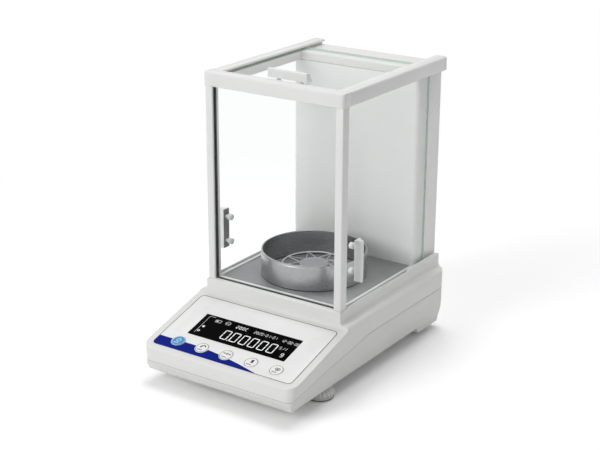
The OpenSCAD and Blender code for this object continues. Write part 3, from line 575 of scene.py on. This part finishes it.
# %% Soft-edged solids
SOFT = [
    # solid, piece, edge radius, finish, slot
    ("lower_housing", "lower_shell", 0.35, powder_white, "housing_metal"),
    ("upper_housing", "upper_shell", 0.30, moulded_white, "housing"),
    ("front_post_left", "post_left", 0.45, frame_enamel, "frame_white"),
    ("front_post_right", "post_right", 0.45, frame_enamel, "frame_white"),
    ("front_beam", "beam", 0.5, frame_enamel, "frame_white"),
    ("door_track_left", "track_left", 0.25, frame_enamel, "frame_white"),
    ("door_track_right", "track_right", 0.25, frame_enamel, "frame_white"),
    ("top_rail_left", "rail_left", 0.35, frame_enamel, "frame_white"),
    ("top_rail_right", "rail_right", 0.35, frame_enamel, "frame_white"),
    ("rear_column", "column", 0.4, column_white, "housing"),
    ("rear_cover", "cover", 0.4, moulded_white, "housing"),
    ("rear_top_plate", "top_plate", 0.4, moulded_white, "housing"),
    ("floor_plate", "chamber_floor", 0.2, floor_grey, "floor_steel"),
    ("draft_collar", "collar", 0.3, cell_alloy, "cell_metal"),
    ("rear_feet", "rear_pads", 0.9, rubber, "rubber"),
    ("level_body", "level_ring", 0.4, dark_plastic, "switch"),
    ("display_window", "display_glass", 0.2, black_gloss, "window"),
    ("keypad_overlay", "overlay", 0.12, film, "overlay"),
    ("power_jack", "jack", 0.3, dark_plastic, "socket_black"),
    ("data_port", "port", 0.25, bright_steel, "socket_metal"),
]
for solid, name, radius, finish, slot in SOFT:
    made = softened(solid, name, radius * MM, finish, "base", slot)
    print(name, len(made.data.polygons), "faces")

# %% [markdown]
# ## Seam between the shells
# A thin dark grey strip in the joint between tray and shell is painted shade: it draws the
# thin dark line of the gap's shadow. It follows one rule: go round the housing's outline, a
# little inside it, at the height the joint has at that place.

# %% Seam shade strip
# The joint's height along Y, and how far the side wall has drawn in at each height.
SEAM = ((-0.172, 0.028), (-0.1155, 0.040), (-0.0155, 0.056), (0.172, 0.056))
DRAWN_IN = ((0.015, 0.0065), (0.040, 0.0015), (0.052, 0.0))
SEAM_HALF, SEAM_OUT, SEAM_IN = 0.22 * MM, 0.22 * MM, 1.5 * MM
HALF_W, HALF_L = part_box("upper_housing")[1].xy
CORNER = 14 * MM


def along(line, place):
    """The value at a place on a line of (place, value) points, level past its ends."""
    for (x0, y0), (x1, y1) in zip(line, line[1:]):
        if place <= x1:
            return y0 + (y1 - y0) * max(place - x0, 0) / (x1 - x0)
    return line[-1][1]


outline = []
SIDE_STEPS, CORNER_STEPS = 24, 12
for quarter, (sx, sy) in enumerate(((1, 1), (-1, 1), (-1, -1), (1, -1))):
    for k in range(CORNER_STEPS + 1):
        a = math.radians(90 * (quarter + k / CORNER_STEPS))
        outline.append((sx * (HALF_W - CORNER), sy * (HALF_L - CORNER), math.cos(a), math.sin(a)))
    if quarter in (1, 3):
        for k in range(1, SIDE_STEPS):
            y = sy * (HALF_L - CORNER) * (1 - 2 * k / SIDE_STEPS)
            outline.append((sx * (HALF_W - CORNER), y, sx, 0.0))
# A thin dark grey strip in the joint: painted shade for the shadow in the narrow gap.
shade_strip = bmesh.new()
lines = []
for inset, rise in ((SEAM_OUT, -SEAM_HALF), (SEAM_OUT, SEAM_HALF), (SEAM_IN, SEAM_HALF),
                    (SEAM_IN, -SEAM_HALF)):
    line = []
    for cx, cy, nx, ny in outline:
        y = cy + ny * (CORNER - inset)
        z = along(SEAM, cy + ny * CORNER)
        x = cx + nx * (CORNER - inset)
        room = HALF_W - along(DRAWN_IN, z) - inset
        line.append(shade_strip.verts.new((max(-room, min(room, x)), y, z + rise)))
    lines.append(line)
for one, two in zip(lines, lines[1:] + lines[:1]):
    for k in range(len(one)):
        j = (k + 1) % len(one)
        shade_strip.faces.new([one[k], one[j], two[j], two[k]])
bmesh.ops.recalc_face_normals(shade_strip, faces=shade_strip.faces)
hand_over(piece_from("seam_shade_strip", shade_strip, seal_grey), "base", "rubber")
print("seam cord of", len(outline), "stations")

# %% [markdown]
# ## Doors
# Three panes slide back: one on each side and one on top. Float glass looks clear through
# its face and green at its edge, so each pane has two finishes: one on the big faces and
# one on the narrow ground edges. The handles are wedges held by two knobs.


# %% Panes
def pane(node, name, body, ground=0.35 * MM):
    """A glass plate with ground edges in the box of its solid."""
    low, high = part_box(node)
    size = high - low
    thin = min(range(3), key=lambda k: size[k])
    bm = bmesh.new()
    bmesh.ops.create_cube(bm, size=1.0)
    for vert in bm.verts:
        vert.co = Vector(low[k] + (vert.co[k] + 0.5) * size[k] for k in range(3))
    bmesh.ops.bevel(bm, geom=bm.edges[:], offset=ground, segments=1, affect="EDGES")
    bm.normal_update()
    for face in bm.faces:
        face.material_index = 0 if abs(face.normal[thin]) > 0.9 else 1
    return hand_over(piece_from(name, bm, pane_face, pane_edge), body, "glass", node)


pane("front_glass", "front_pane", "base")
pane("left_door_glass", "left_pane", "left_door")
pane("right_door_glass", "right_pane", "right_door")
pane("top_door_glass", "top_pane", "top_door")

# %% Handles and knobs
KNOB_R, KNOB_L, SHANK_R, GLASS_T = 4.0, 6.4, 1.95, 3.0
FLUTES, FLUTE_DEPTH = 14, 0.045


def flute(angle, height):
    """A knob's grip: shallow scallops round its barrel."""
    grip = -KNOB_L - GLASS_T + 1.2 < height < -GLASS_T - 1.6
    return 1 - (FLUTE_DEPTH * (0.5 + 0.5 * math.cos(FLUTES * angle)) if grip else 0)


def knob(placing):
    """A knob with a flat face and a bevelled rim, a fluted barrel, a neck and its shank."""
    face = -KNOB_L - GLASS_T
    neck = KNOB_R - 0.7
    outline = [(0, face), (KNOB_R - 0.8, face), (KNOB_R, face + 1), (KNOB_R, -GLASS_T - 1.4),
               (neck, -GLASS_T - 1.3), (neck, -GLASS_T - 0.05), (SHANK_R, -GLASS_T - 0.05),
               (SHANK_R, 4), (0, 4)]
    return spun("knob", outline, 0.45, 56, placing, knob_plastic, flute)


for door, turn_to_face in (("left_door", -1), ("right_door", 1), ("top_door", 0)):
    grip = softened(door + "_handle", door + "_grip", 0.5 * MM, handle_plastic, door,
                    "handle_white", steps=3)
    to_glass = Vector((-turn_to_face, 0, 0)) if turn_to_face else Vector((0, 0, -1))
    # The face that lies on the glass is dark grey.
    grip.data.materials.append(pad_grey)
    for face in grip.data.polygons:
        face.material_index = 1 if face.normal.dot(to_glass) > 0.95 else 0
    low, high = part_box(door + "_knobs")
    glass_low, glass_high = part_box(door + "_glass")
    middle = (low + high) / 2
    pair = []
    for side in (-1, 1):
        if turn_to_face:
            z = middle.z + side * ((high.z - low.z) / 2 - KNOB_R * MM)
            x = glass_high.x if turn_to_face > 0 else glass_low.x
            axis = Matrix.Rotation(turn_to_face * math.pi / 2, 4, "Y")
            placing = Matrix.Translation((x, middle.y, z)) @ axis
        else:
            x = side * ((high.x - low.x) / 2 - KNOB_R * MM)
            placing = Matrix.Translation((x, middle.y, glass_high.z))
        pair.append(knob(placing))
    hand_over(joined(door + "_knob_pair", *pair), door, "knob_white", door + "_knobs")
print("three doors with", 2 * FLUTES, "flutes on each pair of knobs")

# %% [markdown]
# ## Repeated shapes
# Screws, grid wires and the ribs of the feet repeat. Each is drawn once as a Geometry Nodes
# recipe with named sizes, and the recipe sets the copies. The result is made a plain mesh,
# because the export keeps real faces only.


# %% The recipe class
class Recipe(Graph):
    """A Geometry Nodes tree with named inputs, used once for each piece."""

    def __init__(self, name, inputs):
        super().__init__(bpy.data.node_groups.new(name, "GeometryNodeTree"))
        doors = self.tree.interface
        doors.new_socket("Geometry", in_out="INPUT", socket_type="NodeSocketGeometry")
        doors.new_socket("Geometry", in_out="OUTPUT", socket_type="NodeSocketGeometry")
        for label, kind in inputs.items():
            doors.new_socket(label, in_out="INPUT", socket_type="NodeSocket" + kind)
        doors.new_socket("Finish", in_out="INPUT", socket_type="NodeSocketMaterial")
        self.given = self.add("NodeGroupInput")

    def join(self, *parts):
        made = self.add("GeometryNodeJoinGeometry")
        for part in parts:
            self.feed(made.node.inputs[0], part)
        return made[0]

    def tube(self, curve, radius, sides=10):
        ring = self.add("GeometryNodeCurvePrimitiveCircle", {"mode": "RADIUS"},
                        {"Resolution": sides, "Radius": radius})[0]
        return self.add("GeometryNodeCurveToMesh", None, {
            "Curve": curve, "Profile Curve": ring, "Fill Caps": True})[0]

    def deliver(self, geometry):
        solid = self.add("GeometryNodeRealizeInstances", None, {0: geometry})[0]
        smooth = self.add("GeometryNodeSetShadeSmooth", None, {0: solid})[0]
        done = self.add("GeometryNodeSetMaterial", None,
                        {"Geometry": smooth, "Material": self.given["Finish"]})[0]
        self.add("NodeGroupOutput", None, {0: done})

    def make(self, name, finish, values, points=()):
        """Runs the recipe on loose points and returns the plain result."""
        mesh = bpy.data.meshes.new(name)
        mesh.from_pydata([tuple(p) for p in points], [], [])
        host = bpy.data.objects.new(name, mesh)
        scene.collection.objects.link(host)
        recipe = host.modifiers.new("recipe", "NODES")
        recipe.node_group = self.tree
        values = {**values, "Finish": finish}
        for door in self.tree.interface.items_tree:
            if door.item_type == "SOCKET" and door.in_out == "INPUT" and door.name in values:
                recipe[door.identifier] = values[door.name]
        bpy.context.view_layer.update()
        ready = host.evaluated_get(bpy.context.evaluated_depsgraph_get())
        solid = bpy.data.meshes.new_from_object(ready)
        host.modifiers.clear()
        host.data = solid
        solid.name = name
        if not solid.materials:
            solid.materials.append(finish)
        return host


# %% Screws
screws = Recipe("screws", {"Head Radius": "Float", "Head Height": "Float",
                           "Shank Radius": "Float", "Shank Length": "Float",
                           "Turn": "Vector"})
head_r, head_h = screws.given["Head Radius"], screws.given["Head Height"]
head = screws.add("GeometryNodeMeshCylinder", None,
                  {"Vertices": 32, "Radius": head_r, "Depth": head_h})["Mesh"]
slots = []
for long_side in (0, 1):
    size = screws.add("ShaderNodeCombineXYZ", None, {
        long_side: head_r * 1.2, 1 - long_side: head_r * 0.22, 2: head_h * 0.9})[0]
    slots.append(screws.add("GeometryNodeMeshCube", None, {"Size": size})["Mesh"])
lift = screws.add("ShaderNodeCombineXYZ", None, {2: head_h * -0.5})[0]
cross = screws.add("GeometryNodeTransform", None,
                   {"Geometry": screws.join(*slots), "Translation": lift})[0]
cut = screws.add("GeometryNodeMeshBoolean", {"operation": "DIFFERENCE"},
                 {"Mesh 1": head, "Mesh 2": cross})["Mesh"]
shank_l = screws.given["Shank Length"]
shank = screws.add("GeometryNodeMeshCylinder", None, {
    "Vertices": 20, "Radius": screws.given["Shank Radius"], "Depth": shank_l})["Mesh"]
raised = screws.add("ShaderNodeCombineXYZ", None, {2: (shank_l + head_h) * 0.5})[0]
shank = screws.add("GeometryNodeTransform", None,
                   {"Geometry": shank, "Translation": raised})[0]
screws.deliver(screws.add("GeometryNodeInstanceOnPoints", None, {
    "Points": screws.given["Geometry"], "Instance": screws.join(cut, shank),
    "Rotation": screws.given["Turn"]})[0])


def clusters(node, keep):
    """The middles of a solid's separate bodies, in groups of touching points."""
    bm = merged(node)
    left = set(bm.verts)
    middles = []
    while left:
        front = [left.pop()]
        group = list(front)
        while front:
            vert = front.pop()
            for edge in vert.link_edges:
                other = edge.other_vert(vert)
                if other in left:
                    left.remove(other)
                    front.append(other)
                    group.append(other)
        low = Vector(min(v.co[k] for v in group) for k in range(3))
        high = Vector(max(v.co[k] for v in group) for k in range(3))
        middles.append(keep(low, high))
    bm.free()
    return middles


for solid, name, tall, turn, keep in (
        ("housing_screws", "tray_screws", 2.0 * MM, 0,
         lambda a, b: ((a.x + b.x) / 2, (a.y + b.y) / 2, a.z + 1 * MM)),
        ("rear_cover_screws", "cover_screws", 0.8 * MM, math.pi / 2,
         lambda a, b: ((a.x + b.x) / 2, b.y - 0.4 * MM, (a.z + b.z) / 2))):
    spots = clusters(solid, keep)
    low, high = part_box(solid)
    length = (high - low).y if turn else (high - low).z
    made = screws.make(name, bright_steel, {
        "Head Radius": 2.75 * MM, "Head Height": tall, "Shank Radius": 1.2 * MM,
        "Shank Length": length - tall, "Turn": (turn, 0, 0)}, spots)
    hand_over(made, "base", "screw_steel", solid)
    print(len(spots), name)

# %% [markdown]
# ## Pan and wind ring
# The pan is a star of wires between a rim and a disc, so that air passes through it. Its
# shape is one rule: points on two circles in turn. A mesh circle with every second point
# pulled in gives the star, and a tube along it gives the wires.

# %% Pan
RIM_R, DISC_R, WIRE_R, POINTS = 39.2 * MM, 17.6 * MM, 0.8 * MM, 8
grid = Recipe("grid", {"Points": "Int", "Rim": "Float", "Disc": "Float", "Wire": "Float",
                       "Middle": "Vector"})
star = grid.add("GeometryNodeMeshCircle", None, {
    "Vertices": grid.given["Points"] * 2, "Radius": 1.0})["Mesh"]
order = grid.add("GeometryNodeInputIndex")[0]
odd = order % 2
reach = grid.given["Rim"] * (1 - odd) + grid.given["Disc"] * odd
spot = grid.add("GeometryNodeInputPosition")[0]
pulled = grid.add("ShaderNodeVectorMath", {"operation": "SCALE"}, {0: spot, "Scale": reach})[0]
star = grid.add("GeometryNodeSetPosition", None, {"Geometry": star, "Position": pulled})[0]
star = grid.add("GeometryNodeMeshToCurve", None, {0: star})[0]
rim = grid.add("GeometryNodeCurvePrimitiveCircle", {"mode": "RADIUS"},
               {"Resolution": 96, "Radius": grid.given["Rim"]})[0]
wires = grid.join(grid.tube(star, grid.given["Wire"] * 0.85), grid.tube(rim, grid.given["Wire"]))
grid.deliver(grid.add("GeometryNodeTransform", None,
                      {"Geometry": wires, "Translation": grid.given["Middle"]})[0])
pan_low, pan_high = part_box("weighing_pan")
pan_top = pan_high.z
wire_z = pan_top - 0.3 * MM - WIRE_R
wires = grid.make("wires", wire_steel, {
    "Points": POINTS, "Rim": RIM_R, "Disc": DISC_R, "Wire": WIRE_R,
    "Middle": (pan_axis.x, pan_axis.y, wire_z)})
hub_h = (pan_top - pan_low.z) / MM
dish = [(0, hub_h - 0.35), (14.5, hub_h - 0.35), (16, hub_h), (18, hub_h), (18, hub_h - 1.6),
        (16, hub_h - 2), (5.6, hub_h - 2), (5.6, 0), (2.8, 0), (2.8, hub_h - 2.2),
        (0, hub_h - 2.2)]
disc = spun("disc", dish, 0.5, 96, Matrix.Translation((pan_axis.x, pan_axis.y, pan_low.z)),
            pan_steel)
hand_over(joined("pan_grid", wires, disc), "pan", "pan_steel", "weighing_pan")

# %% Wind ring
ring_h = (ring_high.z - ring_low.z) / MM
ring_r = (ring_high.x - ring_low.x) / 2 / MM
wall = [(ring_r - 0.25, 0), (ring_r, 0.6), (ring_r, ring_h - 2.4), (ring_r - 0.35, ring_h - 2),
        (ring_r - 0.1, ring_h), (ring_r - 2.1, ring_h), (ring_r - 2.2, ring_h - 1.2),
        (ring_r - 2.2, 0)]
ring = spun("ring", wall, 0.7, 160, Matrix.Translation((pan_axis.x, pan_axis.y, ring_low.z)),
            ring_metal)
hand_over(ring, "ring", "ring_metal", "wind_ring")
print("pan of", 2 * POINTS, "wires in a ring", round(ring_r * 2), "mm across")

# %% [markdown]
# ## Levelling feet
# The operator turns a foot with a fingertip to bring the bubble to the middle, so the
# wheel is a dome with broad ribs to grip. One rib is a bent tube that follows the dome,
# and the recipe sets it round the axis.

# %% Front feet
ribs = Recipe("ribs", {"Count": "Int", "Start": "Vector", "Bend": "Vector", "End": "Vector",
                       "Rib": "Float", "Middle": "Vector"})
arc = ribs.add("GeometryNodeCurveQuadraticBezier", None, {
    "Resolution": 10, "Start": ribs.given["Start"], "Middle": ribs.given["Bend"],
    "End": ribs.given["End"]})[0]
rib = ribs.tube(arc, ribs.given["Rib"])
dots = ribs.add("GeometryNodeMeshCircle", None,
                {"Vertices": ribs.given["Count"], "Radius": 0.0})["Mesh"]
order = ribs.add("GeometryNodeInputIndex")[0]
about = ribs.add("ShaderNodeCombineXYZ", None,
                 {"Z": order * (2 * math.pi) / ribs.given["Count"]})[0]
spread = ribs.add("GeometryNodeInstanceOnPoints", None,
                  {"Points": dots, "Instance": rib, "Rotation": about})[0]
ribs.deliver(ribs.add("GeometryNodeTransform", None,
                      {"Geometry": spread, "Translation": ribs.given["Middle"]})[0])
WHEEL_R, WHEEL_H, RIBS = 18.0, 9.0, 20
for side in ("left", "right"):
    low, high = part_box("foot_screw_" + side)
    middle = Vector(((low.x + high.x) / 2, (low.y + high.y) / 2, low.z))
    tall = (high.z - low.z) / MM
    thread = []
    for k in range(int(tall - WHEEL_H - 1)):
        thread += [(2.94, WHEEL_H + k + 0.35), (2.7, WHEEL_H + k + 0.85)]
    dome = rounded_profile([(0, 4.3), (2.06, 4.3), (2.06, 0), (WHEEL_R - 1.2, 0),
                            (WHEEL_R - 0.6, 1.2), (WHEEL_R - 0.7, 3.4), (14.5, 6.2),
                            (11, WHEEL_H - 0.9), (9, WHEEL_H), (2.94, WHEEL_H)], 0.6)
    thread += [(2.5, tall), (0, tall)]
    wheel = piece_from("wheel", turned_mesh(dome + thread, 72, Matrix.Translation(middle)),
                       foot_grey)
    grip = ribs.make("grip", foot_grey, {
        "Count": RIBS, "Start": (17.0 * MM, 0, 1.2 * MM), "Bend": (17.3 * MM, 0, 5.4 * MM),
        "End": (10.0 * MM, 0, 8.0 * MM), "Rib": 0.85 * MM, "Middle": tuple(middle)})
    hand_over(joined("foot_wheel_" + side, wheel, grip), side + "_foot_wheel",
              "foot_plastic", "foot_screw_" + side)
    low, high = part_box("foot_pad_" + side)
    middle.z = 0
    pad_r, post_h = (high.x - low.x) / 2 / MM, high.z / MM
    plate = [(0, 1.1), (pad_r - 0.2, 1.1), (pad_r, 3.9), (2, 3.9), (2, post_h), (0, post_h)]
    plate = spun("plate", plate, 0.4, 64, Matrix.Translation(middle), foot_grey)
    sole = [(0, 0), (pad_r - 0.5, 0), (pad_r, 0.5), (pad_r - 0.1, 1.1), (0, 1.1)]
    sole = spun("sole", sole, 0.25, 64, Matrix.Translation(middle), rubber)
    hand_over(joined("foot_pad_" + side + "_soft", plate, sole), side + "_foot_pad",
              "rubber", "foot_pad_" + side)
print("two front feet with", RIBS, "ribs each")

# %% [markdown]
# ## Keys and prints
# The console is one printed film with round keys let into it. A print is ink on a
# surface, so it is a sheet a few hundredths of a millimetre thick, laid just above the
# film. It is drawn in the console's own plane and then tilted into place as a whole.

# %% The console's plane
CONSOLE_TILT = math.radians(15.4)
window_low, window_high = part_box("display_window")
console_up = Vector((0, -math.sin(CONSOLE_TILT), math.cos(CONSOLE_TILT)))
console_at = (window_low + window_high) / 2 + console_up * 0.65 * MM
CONSOLE = Matrix.Translation(console_at) @ Matrix.Rotation(CONSOLE_TILT, 4, "X")
FILM_TOP, WINDOW_TOP, KEY_TOP = 0.2, 0.3, 0.7
KEY_ROW, KEY_PITCH, KEY_R = -36.4, 34.8, 8.2
KEY_ROOM, FLANGE, FLANGE_R = KEY_R + 0.75, -2.65, KEY_R + 1.6
FILM_X, FILM_LOW, FILM_HIGH, FILM_R = 98.5, -51.45, 50.0, 6.0


class Artwork:
    """Flat shapes in the console's plane, in millimetres."""

    def __init__(self):
        self.bm = bmesh.new()

    def shape(self, points):
        self.bm.faces.new([self.bm.verts.new((x, y, 0)) for x, y in points])

    def band(self, one, two, closed=False):
        """Fills between two lines that have the same number of points."""
        a = [self.bm.verts.new((x, y, 0)) for x, y in one]
        b = [self.bm.verts.new((x, y, 0)) for x, y in two]
        for i in range(len(a) if closed else len(a) - 1):
            j = (i + 1) % len(a)
            self.bm.faces.new([a[i], a[j], b[j], b[i]])

    def arc(self, x, y, inner, outer, start=0.0, end=360.0, steps=40):
        lines = []
        for r in (inner, outer):
            lines.append([(x + r * math.cos(math.radians(start + (end - start) * k / steps)),
                           y + r * math.sin(math.radians(start + (end - start) * k / steps)))
                          for k in range(steps + (end - start < 360))])
        self.band(lines[0], lines[1], end - start >= 360)

    def bar(self, x, y, width, height, turned=0.0):
        c, s = math.cos(math.radians(turned)), math.sin(math.radians(turned))
        corners = [(-width / 2, -height / 2), (width / 2, -height / 2),
                   (width / 2, height / 2), (-width / 2, height / 2)]
        self.shape([(x + a * c - b * s, y + a * s + b * c) for a, b in corners])

    def frame(self, x, y, width, height, line):
        for side in (-1, 1):
            self.bar(x, y + side * (height - line) / 2, width, line)
            self.bar(x + side * (width - line) / 2, y, line, height - 2 * line)

    def laid(self, name, finish, height, thick=0.03):
        """Thickens the shapes, puts them at that height and returns the piece."""
        bm = self.bm
        bmesh.ops.recalc_face_normals(bm, faces=bm.faces)
        for face in bm.faces:
            if face.normal.z < 0:
                face.normal_flip()
        flat = bm.faces[:]
        more = bmesh.ops.extrude_face_region(bm, geom=flat)
        tops = [v for v in more["geom"] if isinstance(v, bmesh.types.BMVert)]
        bmesh.ops.translate(bm, verts=tops, vec=(0, 0, thick))
        bmesh.ops.reverse_faces(bm, faces=[f for f in bm.faces if f.is_valid
                                           and abs(f.calc_center_median().z) < 1e-9])
        bmesh.ops.recalc_face_normals(bm, faces=bm.faces)
        bm.transform(CONSOLE @ Matrix.Translation((0, 0, height * MM)) @ Matrix.Scale(MM, 4))
        return piece_from(name, bm, finish)


# %% Film print and edge shade
def swoosh_top(x):
    """The blue field's upper edge: level on the left, then falling away."""
    line = -35.5 - 16.0 * max(0.0, (x + 50) / 104) ** 1.7
    for k in range(5):
        gap = abs(x - (k - 2) * KEY_PITCH)
        if gap < KEY_ROOM:
            line = min(line, KEY_ROW - math.sqrt(KEY_ROOM ** 2 - gap ** 2))
    return line


def film_bottom(x):
    inside = max(0.0, abs(x) - (FILM_X - FILM_R))
    return FILM_LOW + FILM_R - math.sqrt(FILM_R ** 2 - min(inside, FILM_R) ** 2)


BLUE_END = 53.4
columns = {-FILM_X + 0.02, BLUE_END}
columns.update(-FILM_X + FILM_R * (1 - math.cos(math.radians(7.5 * k))) for k in range(1, 12))
columns.update(-90 + 2.5 * k for k in range(58))
for k in range(5):
    for step in range(25):
        columns.add((k - 2) * KEY_PITCH + KEY_ROOM * math.cos(math.radians(7.5 * step)))
columns = sorted(c for c in columns if -FILM_X < c <= BLUE_END)
blue = Artwork()
blue.band([(x, film_bottom(x) + 0.12) for x in columns],
          [(x, max(swoosh_top(x), film_bottom(x) + 0.14)) for x in columns])
hand_over(blue.laid("blue_field", print_blue, FILM_TOP + 0.01), "base", "overlay")


def film_outline(inset, steps=10):
    """The film's rounded outline, moved in."""
    r = FILM_R - inset
    points = []
    for quarter, (sx, y) in enumerate(((1, FILM_HIGH), (-1, FILM_HIGH), (-1, FILM_LOW),
                                       (1, FILM_LOW))):
        cy = y - FILM_R if y > 0 else y + FILM_R
        for k in range(steps + 1):
            a = math.radians(90 * quarter + 90 * k / steps)
            points.append((sx * (FILM_X - FILM_R) + r * math.cos(a), cy + r * math.sin(a)))
    return points


# A dark grey line round the film's edge is painted shade: it stands for the shadow in the narrow
# gap between the film and its pocket.
border = Artwork()
border.band(film_outline(0.05), film_outline(0.75), closed=True)
hand_over(border.laid("film_gap_shade", print_grey, FILM_TOP + 0.045), "base", "overlay")
print("blue field with", len(columns), "columns and a dark border")

# %% Keys
KEYS = (("key_power", "power_key"), ("key_2", "second_key"), ("key_3", "third_key"),
        ("key_4", "fourth_key"), ("key_5", "fifth_key"))


def symbol(art, kind, x, y):
    """A plain pictogram: power, turn, zero, page or pair."""
    if kind == 0:
        art.arc(x, y + 1.2, 2.2, 3.0, 125, 415, 30)
        art.bar(x, y + 3.4, 0.8, 3.2)
    elif kind == 1:
        art.arc(x + 0.8, y + 1.4, 2.2, 3.4, 10, 175, 20)
        art.shape([(x - 3.8, y + 1.7), (x - 0.2, y + 1.7), (x - 2.0, y - 0.7)])
    elif kind == 2:
        art.arc(x, y + 2.0, 0.8, 1.55)
        for side in (-1, 1):
            art.shape([(x + side * 2.0, y + 2.0), (x + side * 4.0, y + 0.8),
                       (x + side * 4.0, y + 3.2)][::side])
            art.bar(x + side * 4.7, y + 2.0, 1.4, 0.8)
    elif kind == 3:
        art.bar(x + 0.7, y + 2.6, 2.9, 4.2)
        art.bar(x + 0.7, y - 0.1, 4.2, 0.9)
    else:
        art.arc(x - 0.7, y + 2.0, 0.9, 1.8)
        art.arc(x + 2.4, y + 2.0, 0.9, 1.8)
        art.bar(x + 0.85, y - 0.7, 4.6, 0.8)
    for k in range(3):
        art.bar(x - 3.0 + 2.2 * k, y - 3.9, 1.7, 1.1)


for k, (node, body) in enumerate(KEYS):
    x = (k - 2) * KEY_PITCH
    power = ("key_blue", key_blue, print_pale, print_pale)
    slot, plastic, ring_ink, ink = power if k == 0 else ("key_white", key_white, print_grey,
                                                         print_black)
    cap = [(0, KEY_TOP), (KEY_R, KEY_TOP - 0.12), (KEY_R, FLANGE), (FLANGE_R, FLANGE),
           (FLANGE_R, FLANGE - 1), (2, FLANGE - 1), (2, FLANGE - 2.5), (0, FLANGE - 2.5)]
    placing = CONSOLE @ Matrix.Translation((x * MM, KEY_ROW * MM, 0))
    hand_over(spun(node + "_cap", cap, 0.35, 64, placing, plastic), body, slot, node)
    ring_art = Artwork()
    ring_art.arc(x, KEY_ROW, KEY_R - 0.75, KEY_R - 0.32, steps=64)
    hand_over(ring_art.laid(node + "_ring", ring_ink, KEY_TOP - 0.09), body, slot)
    art = Artwork()
    symbol(art, k, x, KEY_ROW)
    hand_over(art.laid(node + "_symbol", ink, KEY_TOP - 0.02), body, slot)
print(len(KEYS), "keys with pictograms")

# %% [markdown]
# ## Display
# The display lights seven-segment digits, and every one is the same short bar up to seven
# times over. One table says which bars a sign lights, another says where each bar goes, and
# one function draws them, so a text is written at any size with one line.

# %% Segments
SEGMENTS = {"0": "abcdef", "1": "bc", "2": "abged", "5": "afgcd", "C": "afed", "-": "g",
            "g": "abfgcd"}
PLACES = {"a": (0, 1, 0), "b": (1, 0.5, 1), "c": (1, -0.5, 1), "d": (0, -1, 0),
          "e": (-1, -0.5, 1), "f": (-1, 0.5, 1), "g": (0, 0, 0)}


def write(art, text, x, y, width, height, pitch, line):
    """Draws digits as pointed bars with small gaps between them."""
    half = line / 2
    for sign in text:
        if sign == ".":
            art.bar(x - pitch / 2 - width / 2 + line * 0.1, y - height / 2, line, line)
            continue
        for place in SEGMENTS[sign]:
            sx, sy, upright_bar = PLACES[place]
            tip = (height / 2 if upright_bar else width) * 0.97 / 2
            bar = [(-tip, 0), (-tip + half, -half), (tip - half, -half), (tip, 0),
                   (tip - half, half), (-tip + half, half)]
            if upright_bar:
                bar = [(-b, a) for a, b in bar]
            art.shape([(x + sx * width / 2 + a, y + sy * height / 2 + b) for a, b in bar])
        x += pitch


screen = Artwork()
screen.bar(0, 0, 137.6, 40.1)
hand_over(screen.laid("screen", black_gloss, WINDOW_TOP + 0.005), "base", "window")
SIGNS_AT = WINDOW_TOP + 0.045
bright = Artwork()
write(bright, "0", -22.6, -5.7, 8.3, 15.4, 13.1, 1.2)
bright.bar(-15.7, -13.5, 1.4, 1.4)
write(bright, "00000", -9.5, -5.7, 8.3, 15.4, 13.05, 1.2)
write(bright, "20.0C", -18.4, 12.0, 2.3, 4.4, 4.4, 0.65)
bright.arc(-59.3, -10.8, 0.9, 1.7)
for k in range(4):
    bright.bar(-58.3, -2.1, 3.6, 0.8, 45 * k)
write(bright, "g", 60.4, -11.8, 3.0, 6.0, 5, 0.75)
hand_over(bright.laid("digits", lit_white, SIGNS_AT), "base", "window")
soft = Artwork()
write(soft, "2020-01-01", 7.2, 11.9, 1.9, 4.2, 3.3, 0.55)
write(soft, "12-00-00", 46.0, 11.2, 1.9, 4.2, 3.1, 0.55)
soft.bar(-62.2, 0.8, 0.45, 33)
soft.bar(-58.2, 17.3, 8.2, 0.45)
soft.frame(-46.6, 12.4, 8.4, 4.6, 0.55)
soft.bar(-48.2, 12.4, 2.6, 2.2)
soft.arc(-33.0, 12.6, 3.3, 3.9, 0, 180, 18)
soft.frame(-33.0, 12.0, 5.4, 2.6, 0.5)
write(soft, "5", 51.8, -1.2, 2.4, 4.0, 4, 0.55)
soft.bar(56.4, -1.0, 0.6, 4.2, -20)
soft.bar(59.8, -1.0, 0.6, 4.2, -20)
hand_over(soft.laid("small_signs", lit_dim, SIGNS_AT), "base", "window")
print("display signs laid on the window")

# %% [markdown]
# ## Level
# The bubble in the round vial sits in the middle when the balance is level. The vial is a
# shallow green pool under a clear dome, with a ring mark and a bubble.

# %% Bubble level
low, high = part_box("level_vial")
middle = Matrix.Translation(((low.x + high.x) / 2, (low.y + high.y) / 2, low.z))
pool = spun("pool", [(0, 0), (7.4, 0), (7.4, 1.7), (0, 1.7)], 0.3, 56, middle, vial_green)
mark = piece_from("mark", turned_mesh(
    [(2.9, 1.72), (3.2, 1.72), (3.2, 1.78), (2.9, 1.78)], 48, middle), print_black)
bubble = spun("bubble", [(0, 1.74), (2.3, 1.74), (2.3, 2.05), (0, 2.2)], 0.25, 40, middle,
              key_white)
dome = spun("dome", [(0, 2.25), (7.3, 2.1), (7.4, 2.15), (7.0, 2.42), (0, 2.6)], 0.15, 56,
            middle, vial_glass)
hand_over(joined("level_pool", pool, mark, bubble, dome), "base", "vial", "level_vial")

# %% [markdown]
# ## Inside parts
# The weigh cell and the boards are seen only through the vents, so their solids stay as
# they are and get the finish of what they are made of.

# %% Finishes for the solids that stay
STAY = {
    "foot_nuts": brass, "display_module": solder_mask, "key_board": solder_mask,
    "main_board": solder_mask, "key_switches": dark_plastic, "front_glass_seals": seal_grey,
    "cell_base": cell_alloy, "cell_guides": cell_alloy, "cell_lever": cell_alloy,
    "load_stem": cell_alloy, "force_coil": copper, "magnet_pot": magnet_steel,
    "position_sensor": dark_plastic, "ring_gasket": rubber,
}
for node, finish in STAY.items():
    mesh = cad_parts[node].data
    mesh.materials.clear()
    mesh.materials.append(finish)
print(len(STAY), "solids stay as they are")
